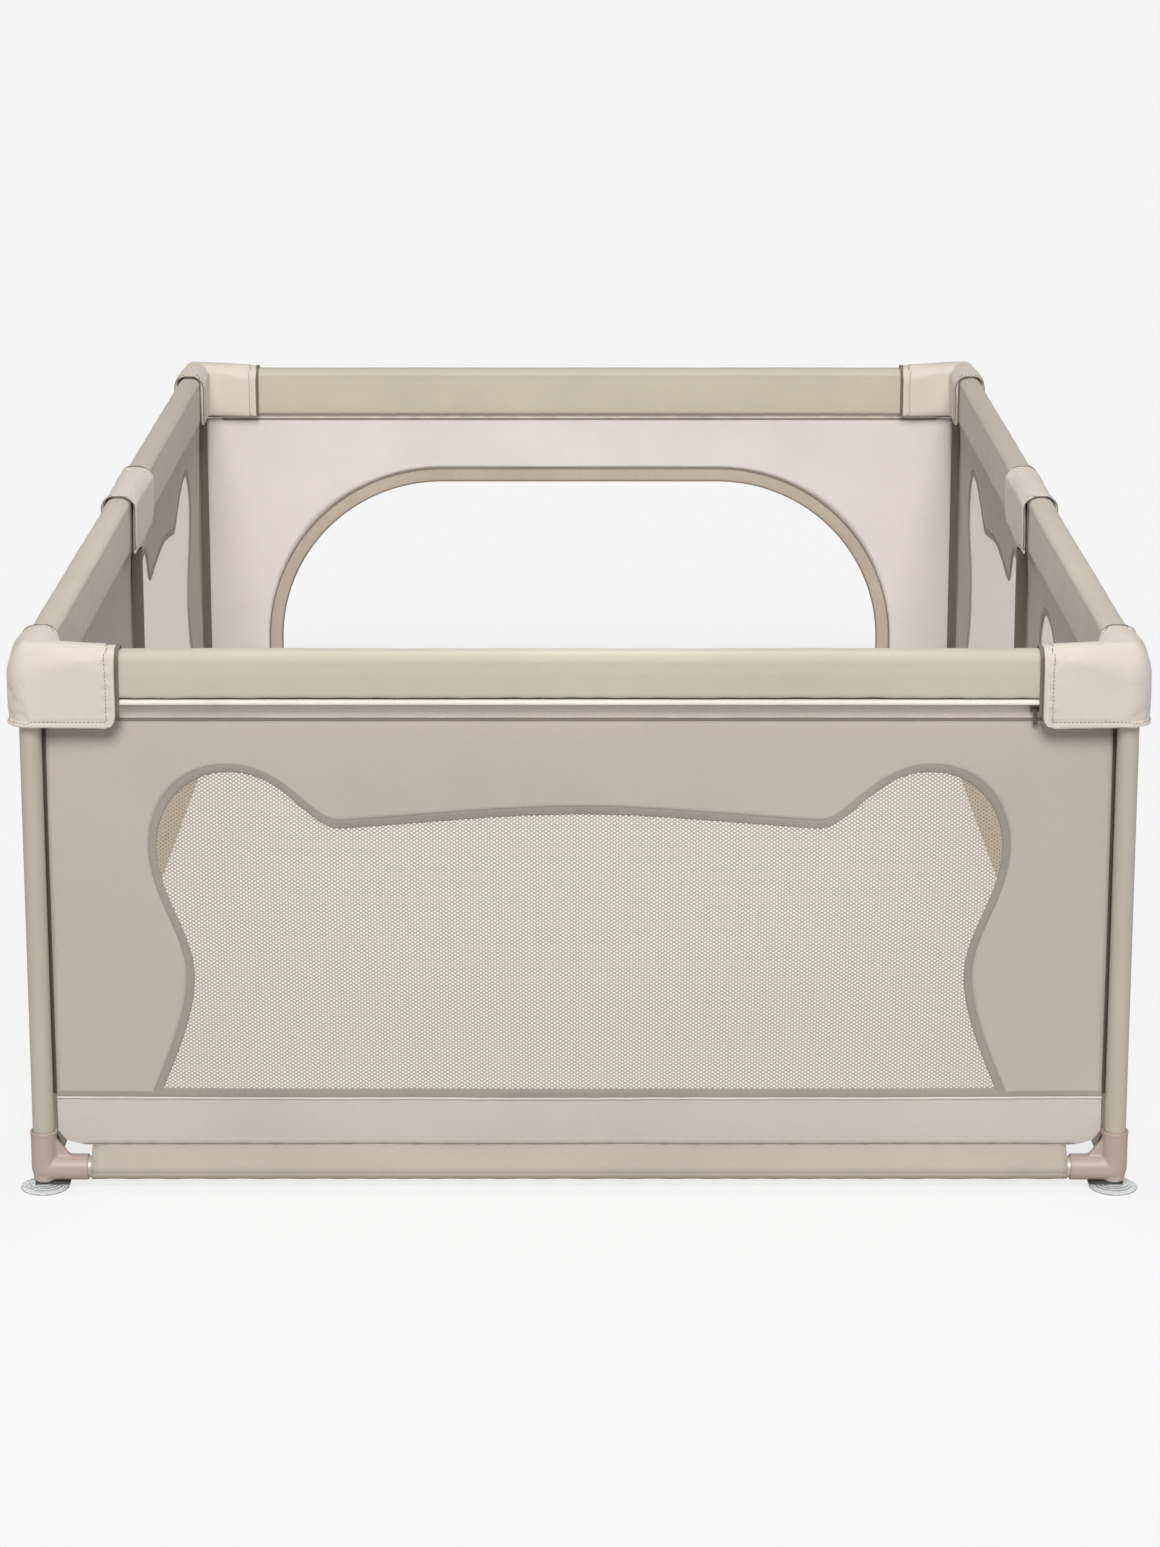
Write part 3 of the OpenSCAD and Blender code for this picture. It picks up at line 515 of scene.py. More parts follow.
def panel(wall, side, top):
    """Grid of a wall's cloth from the opening's edge (v = 0) out to the panel's edge (v = 1). A side
    point runs level with its share of the edge's length, and a top point straight up."""
    half = WALLS[wall][2]
    side, top = evenly(side, OUTLINE_STEP), evenly(top, OUTLINE_STEP)
    edge = half - WALL_END
    share = np.linspace(0, 1, len(side))
    out_z = HEM_LOW + (WALL_TOP - HEM_LOW) * share
    cut = np.clip((HEM_LOW + CUT_HIGH - out_z) / CUT_HIGH, 0, 1)
    out_side = np.c_[edge - (SLEEVE_START - WALL_END) * cut, out_z]
    out_top = np.c_[top[:, 0] * edge / top[0, 0], np.full(len(top), WALL_TOP)]
    inner = whole(side, top)
    outer = whole(out_side, out_top)
    t = np.linspace(0, 1, 25)[None, :, None]
    flat = inner[:, None] * (1 - t) + outer[:, None] * t
    return at_wall(wall, flat[..., 0], drape(wall, flat[..., 0], flat[..., 1]), flat[..., 1])


def woven(name, colour, thread, roughness=0.88, contrast=0.10, cloud=0.10, lift=0.30, sheen=0.12):
    """Plain weave on object coordinates: (sin x + sin y) sin z + sin x sin y at the thread's
    pitch, under a slow cloudiness, as dyed polyester shows."""
    made, tree, shader = finish(name, colour, roughness, Sheen_Weight=sheen, Sheen_Roughness=0.4,
                                Specular_IOR_Level=0.25)
    place = add(tree, "TexCoord").outputs["Object"]
    wave = add(tree, "VectorMath", [(0, place)], operation="SCALE")
    wave.inputs["Scale"].default_value = 2 * math.pi / thread
    wave = add(tree, "VectorMath", [(0, wave.outputs[0])], operation="SINE")
    axis = add(tree, "SeparateXYZ", [(0, wave.outputs[0])]).outputs
    both = add(tree, "Math", [(0, axis[0]), (1, axis[1])], operation="ADD")
    cross = add(tree, "Math", [(0, axis[0]), (1, axis[1])], operation="MULTIPLY")
    weave = add(tree, "Math", [(0, both.outputs[0]), (1, axis[2]), (2, cross.outputs[0])],
                operation="MULTIPLY_ADD")
    slow = add(tree, "TexNoise", [("Vector", place), ("Scale", 5.0), ("Detail", 3.0),
                                  ("Roughness", 0.6)])
    slub = add(tree, "TexNoise", [("Vector", place), ("Scale", 260.0), ("Detail", 2.0)])
    tone = add(tree, "Math", [(0, weave.outputs[0]), (1, contrast), (2, 0.5)], operation="MULTIPLY_ADD")
    for noise, amount in ((slow, 2.2), (slub, 0.8)):
        centred = add(tree, "Math", [(0, noise.outputs["Fac"]), (1, 0.5)], operation="SUBTRACT")
        tone = add(tree, "Math", [(0, centred.outputs[0]), (1, amount), (2, tone.outputs[0])],
                   operation="MULTIPLY_ADD")
    tone = add(tree, "Mix", [(0, tone.outputs[0]), (6, shaded(colour, 1 - cloud)),
                             (7, shaded(colour, 1 + cloud))], data_type="RGBA")
    tree.links.new(tone.outputs[2], shader.inputs["Base Color"])
    raised = add(tree, "Bump", [("Height", weave.outputs[0]), ("Strength", lift),
                                ("Distance", 0.15 * thread)])
    tree.links.new(raised.outputs[0], shader.inputs["Normal"])
    return made


def thicken(made, thick, offset=0.0):
    """Gives a sheet its thickness, half to each side unless offset says otherwise."""
    solid = made.modifiers.new("cloth", "SOLIDIFY")
    solid.thickness = thick
    solid.offset = offset
    return made


def lined(made, inwards, lining):
    """Settles a thickened cloth and gives the faces on its inner side the lining."""
    settle(made)
    made.data.materials.append(lining)
    flat = np.empty(3 * len(made.data.polygons), np.float32)
    made.data.polygons.foreach_get("normal", flat)
    inside_faces = flat.reshape(-1, 3) @ np.array(inwards) > 0.3
    made.data.polygons.foreach_set("material_index", inside_faces.astype(np.int32))
    made.data.update()


wall_finish = woven("wall_weave", srgb(191, 182, 170), 0.9 * MM, cloud=0.04)
# A lighter inner face for the back wall and the door flap. The side walls' inner faces keep the outer colour,
# so this lighter tone is partly the lining's own colour and partly painted light.
lining_and_light_finish = woven("lining_and_light_weave", srgb(227, 219, 212), 0.9 * MM, cloud=0.04)
DOOR_EDGE = door_edge(DOOR_HALF + DOOR_BAND + 0.2 * MM, DOOR_LOW + DOOR_RISE + DOOR_BAND + 0.2 * MM,
                      DOOR_ROUND + DOOR_BAND + 0.2 * MM)
cloths = {}
for wall in WALLS:
    edge = DOOR_EDGE if wall == "back" else window_edge(*window_size(wall))
    cloth = surface(wall + "_wall_cloth", panel(wall, *edge), wall_finish, round_u=True)
    cloths[wall] = place_piece(cloth, "pen", "wall_fabric", wall + "_wall")

# ---- Hems and bottom sleeves -----------------------------------------------
# Each wall ends in a doubled hem band, piped along its top and taped above, rounded at its
# lower corners. Below it the cloth is drawn round the bottom tube as a sleeve.

BEAD_R = 1.4 * MM
TAPE_LOW, TAPE_TOP = 110.2 * MM, 116.8 * MM
SEAM_Z = 51.8 * MM
tube_low, tube_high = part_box("bottom_rail_tubes")
TUBE_Z = (tube_low.z + tube_high.z) / 2
SLEEVE_R = (tube_high.z - tube_low.z) / 2 + 1.8 * MM
TRIM_STEP = 12 * MM            # between points along a trim
ONE_CLOTH = 1.2 * MM           # thickness of a single cloth


def steps(reach, step):
    """Evenly spaced values from minus reach to reach."""
    return np.linspace(-reach, reach, max(3, round(2 * reach / step) + 1))


def carried(wall, x, profile, sway=1.0):
    """Grid of a closed (y, z) profile carried along a wall, following the drape of its cloth."""
    x, y, z = np.broadcast_arrays(x[:, None], profile[None, :, 0], profile[None, :, 1])
    moved = sway * (drape(wall, x, z) - WALL_INSET)
    return at_wall(wall, x, y + moved, z)


def disc(middle, radius, sides=12):
    """(y, z) points round a circle."""
    return np.c_[middle[0] + radius * np.cos(ring(sides)), middle[1] + radius * np.sin(ring(sides))]


def band_box(y0, y1, z0, z1, rounding, per_side=5):
    """(y, z) points round a rectangle with rounded corners."""
    corner = np.linspace(0, math.pi / 2, per_side)
    points = []
    for k, (y, z) in enumerate([(y1, z1), (y0, z1), (y0, z0), (y1, z0)]):
        turn = corner + k * math.pi / 2
        pivot = np.array([y - rounding * np.sign(y - (y0 + y1) / 2),
                          z - rounding * np.sign(z - (z0 + z1) / 2)])
        points.append(pivot + rounding * np.c_[np.cos(turn), np.sin(turn)])
    return np.vstack(points)


def strip(name, grid, material):
    """A closed section carried along a line, with one face across each end."""
    return surface(name, grid, material, round_v=True, capped="fan")


def turned_up(past):
    """Rise, 0 to 1, of an edge that turns up in a quarter round as past goes from 0 to 1."""
    return 1 - np.sqrt(1 - past ** 2)


def hem_band(wall):
    """The doubled band: faces HEM_THICK apart whose lower edge rises in a quarter round at the ends."""
    reach, cut = WALLS[wall][2] - WALL_END, SLEEVE_START - WALL_END
    x = steps(reach, 9 * MM)[:, None]
    low = HEM_LOW + CUT_HIGH * turned_up(np.clip((np.abs(x) - (reach - cut)) / cut, 0, 1))
    t = np.linspace(0, 1, 32)
    z = HEM_TOP + (low - HEM_TOP) * t
    seam = np.exp(-((z - SEAM_Z) / (2 * MM)) ** 2)
    half = HEM_THICK / 2 * (0.75 + 0.35 * np.sin(math.pi * t) - 0.4 * seam)
    middle = drape(wall, x, z)
    ripple = 0.25 * MM * np.sin(2 * math.pi * x / 0.035 + 3 * np.sin(x / 0.09)) * t
    front = at_wall(wall, x, middle - half + ripple, z)
    back = at_wall(wall, x, middle + half + ripple, z)
    return np.concatenate([front, back[:, ::-1]], 1)


def sleeve(wall):
    """Teardrop round the bottom tube: a circle and its two tangents drawn up to the hem's lower edge,
    slightly slack between its ends."""
    x = steps(WALLS[wall][2] - SLEEVE_START + 1.6 * MM, 11 * MM)
    apex = np.array([WALL_INSET, HEM_LOW - TUBE_Z])
    far = np.linalg.norm(apex)
    spread, lean = math.acos(SLEEVE_R / far), math.atan2(apex[1], apex[0])
    angle = lean + spread + np.linspace(0, 2 * math.pi - 2 * spread, 52)
    round_it = SLEEVE_R * np.c_[np.cos(angle), np.sin(angle)]
    t = np.linspace(0, 1, 6)[:, None]
    top = apex + (0, -0.3 * MM)
    profile = np.vstack([top * (1 - t) + round_it[0] * t, round_it[1:], round_it[-1] * (1 - t[1:-1])
                         + top * t[1:-1]])
    over = np.hypot(*profile.T)
    pinch = (profile[:, 0] < 0) * (0.5 * np.exp(-((profile[:, 1] - 3.5 * MM) / (2.2 * MM)) ** 2)
                                   - 0.9 * np.exp(-((profile[:, 1] + 3.5 * MM) / (1.6 * MM)) ** 2))
    profile *= 1 + (pinch * MM / over)[:, None]
    chance = np.random.default_rng(7 + sum(map(ord, wall)))
    slack = 0.35 * MM * np.sin(2 * math.pi * x / 0.043 + 2 * np.sin(x / 0.07 + chance.uniform(0, 6)))
    swell = 1 + (slack[:, None] * np.sin(np.linspace(0, math.pi, len(profile))) ** 2) / SLEEVE_R
    y = profile[:, 0] * swell
    z = TUBE_Z + profile[:, 1] * swell
    return at_wall(wall, x[:, None], y, z)


hem_finish = woven("hem_weave", srgb(203, 195, 184), 0.9 * MM, cloud=0.04)
# The sleeve is the wall's own cloth drawn round the tube, coloured darker than the wall: painted shade.
shaded_sleeve_finish = woven("sleeve_weave_painted_shade", srgb(187, 178, 165), 0.9 * MM, cloud=0.04)
seam_finish = grained("seam_thread", srgb(132, 124, 111), 0.7, 2500.0, 0.1, 0.3, 0.1 * MM)
# The piping's colour is lighter than the hem's so that the bead shows as a bright line: partly its own
# colour, partly painted highlight.
piping_and_highlight_finish = woven("piping_and_highlight_weave", srgb(218, 210, 199), 0.7 * MM)
tape_finish = woven("binding_tape", srgb(163, 155, 143), 0.8 * MM, contrast=0.16, lift=0.5)
bead_section = disc((WALL_INSET - HEM_THICK / 2 - 0.2 * MM, HEM_TOP + 0.4 * MM), BEAD_R)
tape_section = band_box(WALL_INSET - 1.9 * MM, WALL_INSET + 1.9 * MM, TAPE_LOW, TAPE_TOP, 0.8 * MM)
seam_section = disc((WALL_INSET - 1.15 * MM, SEAM_Z), 0.7 * MM, 6)
for wall in WALLS:
    reach = WALLS[wall][2] - WALL_END
    x = steps(reach, TRIM_STEP)
    sewn_x = steps(reach - SLEEVE_START + WALL_END + 12 * MM, 2.4 * MM)
    hem = surface(wall + "_hem_band", hem_band(wall), hem_finish, round_v=True, capped="strip")
    bead = strip(wall + "_hem_piping", carried(wall, x, bead_section), piping_and_highlight_finish)
    tape = strip(wall + "_hem_tape", carried(wall, x, tape_section), tape_finish)
    seam = strip(wall + "_hem_seam", carried(wall, sewn_x, seam_section), seam_finish)
    tube = thicken(surface(wall + "_bottom_sleeve", sleeve(wall), shaded_sleeve_finish, round_v=True),
                   ONE_CLOTH, -1)
    trims = [hem, bead, tape, seam, tube]
    for piece in trims:
        place_piece(piece, "pen", "wall_fabric")
    thicken(cloths[wall], CLOTH)
    if wall == "back":
        lined(cloths[wall], at_wall(wall, 0, 1, 0) - at_wall(wall, 0, 0, 0), lining_and_light_finish)

# ---- Netting windows -------------------------------------------------------
# Polyester netting with staggered lozenge holes fills each window. A folded tape, sewn down
# along both edges, binds the cut cloth and the netting together.

NET_PITCH, NET_ROW = 6.5 * MM, 2.2 * MM
NET_THREAD = 1.55 * MM
NET_GLOW = 0.45                # share of the light that a thread lets through
BIND_WIDE, BIND_THICK = 9.2 * MM, 3.4 * MM
NET_CLEAR = 0.001 * MM         # the first knots lie this far above the level foot, not on it


def inset(line, distance):
    """A closed anticlockwise line moved inwards."""
    ahead = np.roll(line, -1, 0) - line
    ahead /= np.linalg.norm(ahead, axis=1)[:, None]
    behind = np.roll(ahead, 1, 0)
    left = np.c_[-behind[:, 1], behind[:, 0]]
    middle = left + np.c_[-ahead[:, 1], ahead[:, 0]]
    middle /= np.linalg.norm(middle, axis=1)[:, None]
    return line + middle * distance / (middle * left).sum(1)[:, None]


def inside(line, points):
    """Whether each point lies inside a closed line, by counting the edges level with it to its right."""
    x, z = points[:, 0], points[:, 1]
    within = np.zeros(len(points), bool)
    for (x0, z0), (x1, z1) in zip(line, np.roll(line, -1, 0)):
        if z0 != z1:
            level = (z0 > z) != (z1 > z)
            within ^= level & (x < (x1 - x0) * (z - z0) / (z1 - z0) + x0)
    return within


def netting(line, pitch, row, thread):
    """Flat net of slanting threads inside a closed line, as (points, faces). Knots lie in staggered rows;
    each is a lozenge, and each thread is one four-sided face from a knot to one in the next row."""
    slant = math.atan2(row, pitch / 2)
    (x0, z0), (x1, z1) = line.min(0), line.max(0)
    rows, columns = int((z1 - z0) / row) + 3, int((x1 - x0) / pitch) + 3
    j, i = np.mgrid[0:rows, 0:columns]
    knots = np.stack([x0 + pitch * (i - 1 + 0.5 * (j % 2)), z0 + NET_CLEAR + row * (j - 1)], -1)
    wide, high = thread / 2 / math.sin(slant), thread / 2 / math.cos(slant)
    corners = np.array([(wide, 0), (0, high), (-wide, 0), (0, -high)])
    points = (knots[:, :, None] + corners).reshape(-1, 2)
    first = 4 * (j * columns + i)                # number of each knot's right corner
    right = first[:-1] + 4 * columns + 4 * (j[:-1] % 2)
    left = right - 4
    here = first[:-1]
    threads = [np.stack([here, right + 3, right + 2, here + 1], -1),
               np.stack([here + 1, left, left + 3, here + 2], -1)]
    threads = np.concatenate([t[:, 1:-1].reshape(-1, 4) for t in threads])
    quads = np.concatenate([(first[:, :, None] + np.arange(4)).reshape(-1, 4), threads])
    keep = inside(line, points)
    quads = quads[keep[quads].all(1)]
    used = np.unique(quads)
    new = np.zeros(len(points), int)
    new[used] = np.arange(len(used))
    return points[used], new[quads].tolist()


def bound_edge(wall, line, width, thick):
    """Grid of a tape's rounded section carried round a closed line in the wall's plane."""
    section = band_box(-width / 2, width / 2, -thick / 2, thick / 2, 0.45 * thick, 4)
    middle = inset(line, width / 2 - 0.6 * MM)
    outward = inset(line, width / 2 + 1 * MM - 0.6 * MM) - middle
    flat = middle[:, None] - outward[:, None] / MM * section[None, :, :1]
    y = drape(wall, middle[:, None, 0], middle[:, None, 1]) + section[None, :, 1]
    return at_wall(wall, flat[..., 0], y, flat[..., 1])


NET = srgb(199, 185, 163)
net_finish = grained("net_thread", NET, 0.8, 900.0, 0.06, 0.2, 0.1 * MM, Sheen_Weight=0.2)
tree = net_finish.node_tree
glow = add(tree, "BsdfTranslucent", [("Color", NET)])
both = add(tree, "MixShader", [(0, NET_GLOW), (1, tree.nodes["Principled BSDF"].outputs[0]),
                               (2, glow.outputs[0])])
tree.links.new(both.outputs[0], tree.nodes["Material Output"].inputs["Surface"])
for wall in WALLS:
    if wall == "back":
        continue
    window, rise = window_size(wall)
    side, top = window_edge(window, rise)
    line = whole(evenly(side, BINDING_STEP), evenly(top, BINDING_STEP))
    flat, faces = netting(inset(line, 5 * MM), NET_PITCH, NET_ROW, NET_THREAD)
    mesh = bpy.data.meshes.new(wall + "_netting")
    mesh.from_pydata(at_wall(wall, flat[:, 0], drape(wall, flat[:, 0], flat[:, 1]), flat[:, 1]), [], faces)
    net = place_piece(new_object(wall + "_netting", mesh, net_finish), "pen", "netting", wall + "_net")
    binding = surface(wall + "_window_binding", bound_edge(wall, line, BIND_WIDE, BIND_THICK),
                      tape_finish, round_u=True, round_v=True)
    place_piece(binding, "pen", "binding", "window_bindings")

# ---- Wall joining bands ----------------------------------------------------
# Bands of woven polyester webbing stand behind the posts. Each is sewn to the upright
# edges of two walls, and so joins one wall to the next. Their dark colour is painted shade,
# for the shadowed fold of cloth round each post.

# The bands' dark colour is painted shade.
band_finish = woven("dark_webbing", srgb(120, 110, 95), 1.1 * MM, contrast=0.2, lift=0.6)
dress("wall_joining_bands", band_finish)

# ---- Padded top rails ------------------------------------------------------
# A foam tube on each top rail, in a tight sleeve of coated polyester that the zip below
# closes. Its inner side hangs lower, over the zip. The sleeve is swelled by a cloth
# simulation, creased along both shoulders and faintly rippled by the pull of the zip.

RAIL_START = 44 * MM            # post centre to the padding's end
RAIL_ROUND = 12 * MM
RAIL_TALL = 56 * MM
RAIL_FOLD = 5 * MM
APRON = 4 * MM                  # thickness of the doubled cloth over the zip
SLACK = 1.0 * MM                # how much smaller a padded piece starts than it swells to
rail_low, rail_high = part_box("front_rail_cover")
RAIL_TOP, APRON_LOW = rail_high.z + 2 * MM, rail_low.z
RAIL_BOTTOM = RAIL_TOP - RAIL_TALL
RAIL_HALF = (rail_high.y - rail_low.y) / 2
CREASE = RAIL_TOP - 17 * MM     # where the rounded shoulders meet the flat sides
PRESSURE, FRAMES = 4.0, 20      # of the air that swells the padding


def puff(pieces, cap):
    """Swells closed cloth pieces by air pressure for a few frames, keeps each point within cap of
    where it was, and applies the result."""
    for made in pieces:
        cloth = made.modifiers.new("air", "CLOTH")
        cloth.settings.quality = 4
        cloth.settings.mass = 0.25
        cloth.settings.tension_stiffness = cloth.settings.compression_stiffness = 12
        cloth.settings.bending_stiffness = 0.4
        cloth.settings.use_pressure = True
        cloth.settings.uniform_pressure_force = PRESSURE
        cloth.settings.effector_weights.gravity = 0
        cloth.collision_settings.use_collision = False
        cloth.point_cache.frame_start, cloth.point_cache.frame_end = 1, FRAMES
    for moment in range(1, FRAMES + 1):
        scene.frame_set(moment)
    view = bpy.context.evaluated_depsgraph_get()
    swelled = {made: points_of(made.evaluated_get(view).data) for made in pieces}
    for made in pieces:
        made.modifiers.clear()
        before = points_of(made.data)
        move = swelled[made] - before
        far = np.linalg.norm(move, axis=1)[:, None]
        put_points(made.data, before + move * np.minimum(1, cap / np.maximum(far, 1e-9)))
    scene.frame_set(1)


def points_of(mesh):
    """A mesh's points as an array."""
    flat = np.empty(3 * len(mesh.vertices), np.float32)
    mesh.vertices.foreach_get("co", flat)
    return flat.reshape(-1, 3).astype(float)


def put_points(mesh, points):
    """Moves a mesh's points to the rows of an array."""
    mesh.vertices.foreach_set("co", points.astype(np.float32).ravel())
    mesh.update()


def subdivided(made):
    """Adds one level of subdivision and applies it."""
    made.modifiers.new("fine", "SUBSURF").levels = 1
    made.modifiers["fine"].render_levels = 1
    settle(made)
    return made


def press(made, depth):
    """Moves each point outwards along its normal by its depth."""
    flat = np.empty(3 * len(made.data.vertices), np.float32)
    made.data.vertex_normals.foreach_get("vector", flat)
    put_points(made.data, points_of(made.data) + flat.reshape(-1, 3) * depth[:, None])


def groove(distance, width):
    """A soft furrow's depth, 1 on its line, at a distance from it."""
    return np.exp(-(distance / width) ** 2)


def taken_back(origin, turn, points):
    """Points as rows of x, of y and of heights from an origin: the reverse of placed."""
    c, s = math.cos(math.radians(turn)), math.sin(math.radians(turn))
    x, y = points[:, 0] - origin[0], points[:, 1] - origin[1]
    return x * c + y * s, y * c - x * s, points[:, 2]


def arc(middle, radius, start, end, points):
    """(y, z) points along an arc, its ends in degrees."""
    angle = np.radians(np.linspace(start, end, points))
    return np.array(middle) + radius * np.c_[np.cos(angle), np.sin(angle)]


def rail_grid(wall):
    """The sleeve's section carried along the rail: an oblong with two rounded shoulders and a rounded
    outer edge below, whose inner side goes on down as an apron with a rounded hem."""
    x = steps(WALLS[wall][2] - RAIL_START, 10 * MM)
    half, low, top, r = RAIL_HALF - SLACK, RAIL_BOTTOM + SLACK, RAIL_TOP - SLACK, RAIL_ROUND - SLACK
    fold = RAIL_FOLD - SLACK
    tip = APRON / 2 - 0.4 * MM
    turn = 3 * MM
    face = half - 2 * tip
    section = np.vstack([
        arc((-half + fold, low + fold), fold, 180, 270, 5),
        [(-half + fold + 8 * MM, low), (face - turn - 6 * MM, low)],
        arc((face - turn, low - turn), turn, 90, 0, 4),
        [(face, APRON_LOW + 8 * MM)],
        arc((half - tip, APRON_LOW + 0.3 * MM + tip), tip, 180, 360, 6),
        [(half, z * MM) for z in range(580, 623, 7)],
        arc((half - r, top - r), r, 0, 90, 7),
        [(0, top)],
        arc((-half + r, top - r), r, 90, 180, 7),
        [(-half, z * MM) for z in (622, 616, 610, 603)],
    ])
    return at_wall(wall, x[:, None], section[:, 0], section[:, 1])


rail_finish = woven("rail_weave", srgb(201, 193, 176), 0.8 * MM, roughness=0.55, cloud=0.04, sheen=0.2)
rails = {}
for wall in WALLS:
    rails[wall] = strip(wall + "_padded_rail", rail_grid(wall), rail_finish)
puff(rails.values(), 1.2 * MM)
for wall, rail in rails.items():
    subdivided(rail)
    x, y, z = taken_back(*WALLS[wall][:2], points_of(rail.data))
    crest = groove(z - RAIL_TOP, 2 * MM) * groove(np.abs(y) - 9 * MM, 1.6 * MM)
    crease = groove(z - CREASE, 2.2 * MM) + crest
    low = np.clip((RAIL_BOTTOM + 16 * MM - z) / (16 * MM), 0, 1)
    ripple = low * np.sin(2 * math.pi * x / 0.038 + 2.5 * np.sin(x / 0.11))
    waves = np.sin(2 * math.pi * x / 0.23 + z / 0.02) * np.sin(2 * math.pi * x / 0.13 + 1.7)
    press(rail, -0.9 * MM * crease + 0.25 * MM * ripple + 0.30 * MM * waves)
    place_piece(rail, "pen", "rail_fabric", wall + "_rail_cover", "rail_foam")

# ---- Corner covers ---------------------------------------------------------
# Padded saddles bent round each corner, cut from one thick lined cloth. A turned hem runs
# along the outer skirt's lower edge, and a narrower bound hem closes each end.

COVER_REACH = 103 * MM
COVER_OUT = 24 * MM             # centre line to the outer face
LINING = RAIL_HALF + 0.3 * MM
LINING_TOP = RAIL_TOP + 0.3 * MM
LINING_ROUND = RAIL_ROUND + 0.3 * MM
SKIRT_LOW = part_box("front_left_corner_cover")[0].z
COVER_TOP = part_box("front_left_corner_cover")[1].z
INNER_LOW = 568 * MM
END_HEM, LOW_HEM = 13 * MM, 9 * MM
COVER_ROUND = 18 * MM, 18 * MM          # a shoulder, across and up
LINING_SHOULDER = LINING_ROUND, LINING_ROUND
SKIRT_ROUND = 12 * MM                   # rounding of the skirt's lower end corners
EDGE_R = 0.9 * MM                       # turned edge round a mouth
EDGE_IN = 0.4 * MM
MOUTH_IN, MOUTH_OUT = 4 * MM, 0.6 * MM  # how far the lining's lip reaches either way
STITCH_PITCH, STITCH_LONG, STITCH_THICK = 4.6 * MM, 3.2 * MM, 1.0 * MM
POSTS = {place: (centre(place + "_post")[:2], turn)       # where each stands, and its turn about Z
         for place, turn in zip(PLACES, (0, 90, 180, 270, 0, 180))}


def at_post(place, x, y, z):
    """Points given from a post, with a corner's arms along +x and +y, or a middle's inside along +x."""
    return placed(*POSTS[place], x, y, z)


def saddle(out_c, in_c, top, out_round, in_round, low_out, low_in):
    """Rows of (outwards-negative distance, height) over a rail: up the outer side, over two
    elliptic shoulders, and down the inner side. Each argument is a value or a column of them,
    and a round is (across, up)."""
    rise, q = np.linspace(0, 1, 17), np.linspace(0, math.pi / 2, 11)
    drop = np.linspace(0, 1, 15)
    parts = [
        (-out_c + 0 * rise, low_out + (top - out_round[1] - low_out) * rise),
        (-out_c + out_round[0] * (1 - np.cos(q[1:])), top - out_round[1] * (1 - np.sin(q[1:]))),
        ((-out_c + out_round[0] + in_c - in_round[0]) / 2 + 0 * q[:1], top + 0 * q[:1]),
        (in_c - in_round[0] * (1 - np.sin(q)), top - in_round[1] * (1 - np.cos(q))),
        (in_c + 0 * drop[1:], top - in_round[1] - (top - in_round[1] - low_in) * drop[1:]),
    ]
    rows = max(np.shape(p)[0] if np.ndim(p) == 2 else 1 for pair in parts for p in pair)
    grids = [np.stack([np.broadcast_to(np.atleast_2d(d), (rows, np.shape(d)[-1])),
                       np.broadcast_to(np.atleast_2d(z), (rows, np.shape(z)[-1]))], -1)
             for d, z in (np.broadcast_arrays(*map(np.atleast_2d, pair)) for pair in parts)]
    return np.concatenate(grids, 1)


def round_corner(rows, bend):
    """Rows of a section carried from one arm's end, round the corner, to the other's. Outside the
    centre line the turn is about the post, and inside it about a fillet of radius bend."""
    d, z = rows[..., 0], rows[..., 1]
    fillet = bend * np.clip(d, 0, None) / COVER_OUT
    start = np.where(d > 0, d + fillet, 0)
    radius = np.where(d > 0, fillet, -d)
    arm = np.linspace(0, 1, 23)[:, None]
    turn = np.linspace(0, math.pi / 2, 13)[1:-1, None]
    n, m = len(arm), len(turn)
    x, y = d.copy(), d.copy()
    x[:n] = COVER_REACH + (start[:n] - COVER_REACH) * arm
    x[n:n + m] = start[n:n + m] - radius[n:n + m] * np.sin(turn)
    y[n:n + m] = start[n:n + m] - radius[n:n + m] * np.cos(turn)
    y[n + m:] = start[n + m:] + (COVER_REACH - start[n + m:]) * arm
    return x, y, z


def shell(name, outer, inner, material):
    """A closed piece between an outer and an inner grid of points."""
    return surface(name, np.concatenate([outer, inner[:, ::-1]], 1), material, round_v=True, capped="strip")


def corner_cover(place):
    """Outer cloth and lining of a corner cover. Towards the corner the top rises, the outer shoulder
    grows rounder, and the lower end corners of the skirt are rounded off."""
    arm = np.linspace(0, 1, 23)
    share = np.r_[arm, np.ones(11), arm[::-1]][:, None]       # 0 at the ends, 1 at the corner
    near = share * share * (3 - 2 * share)
    low = SKIRT_LOW + SKIRT_ROUND * turned_up(np.clip(1 - COVER_REACH * share / SKIRT_ROUND, 0, 1))
    c = COVER_OUT - SLACK
    top = COVER_TOP - SLACK - 6 * MM * (1 - near)
    out_round = ((18 + 5 * near) * MM, (18 + 24 * near ** 3) * MM)
    outer = saddle(c, c, top, out_round, COVER_ROUND, low, INNER_LOW)
    flare = np.clip((SKIRT_LOW + 14 * MM - outer[..., 1]) / (14 * MM), 0, 1) * (outer[..., 0] < 0)
    outer[..., 0] -= 1.4 * MM * flare ** 1.5
    lining = saddle(LINING, LINING, LINING_TOP, LINING_SHOULDER, LINING_SHOULDER, low, INNER_LOW)
    grids = [at_post(place, *round_corner(rows, 7 * MM)) for rows in (outer, lining)]
    return shell(place + "_padded_corner", *grids, cover_finish)


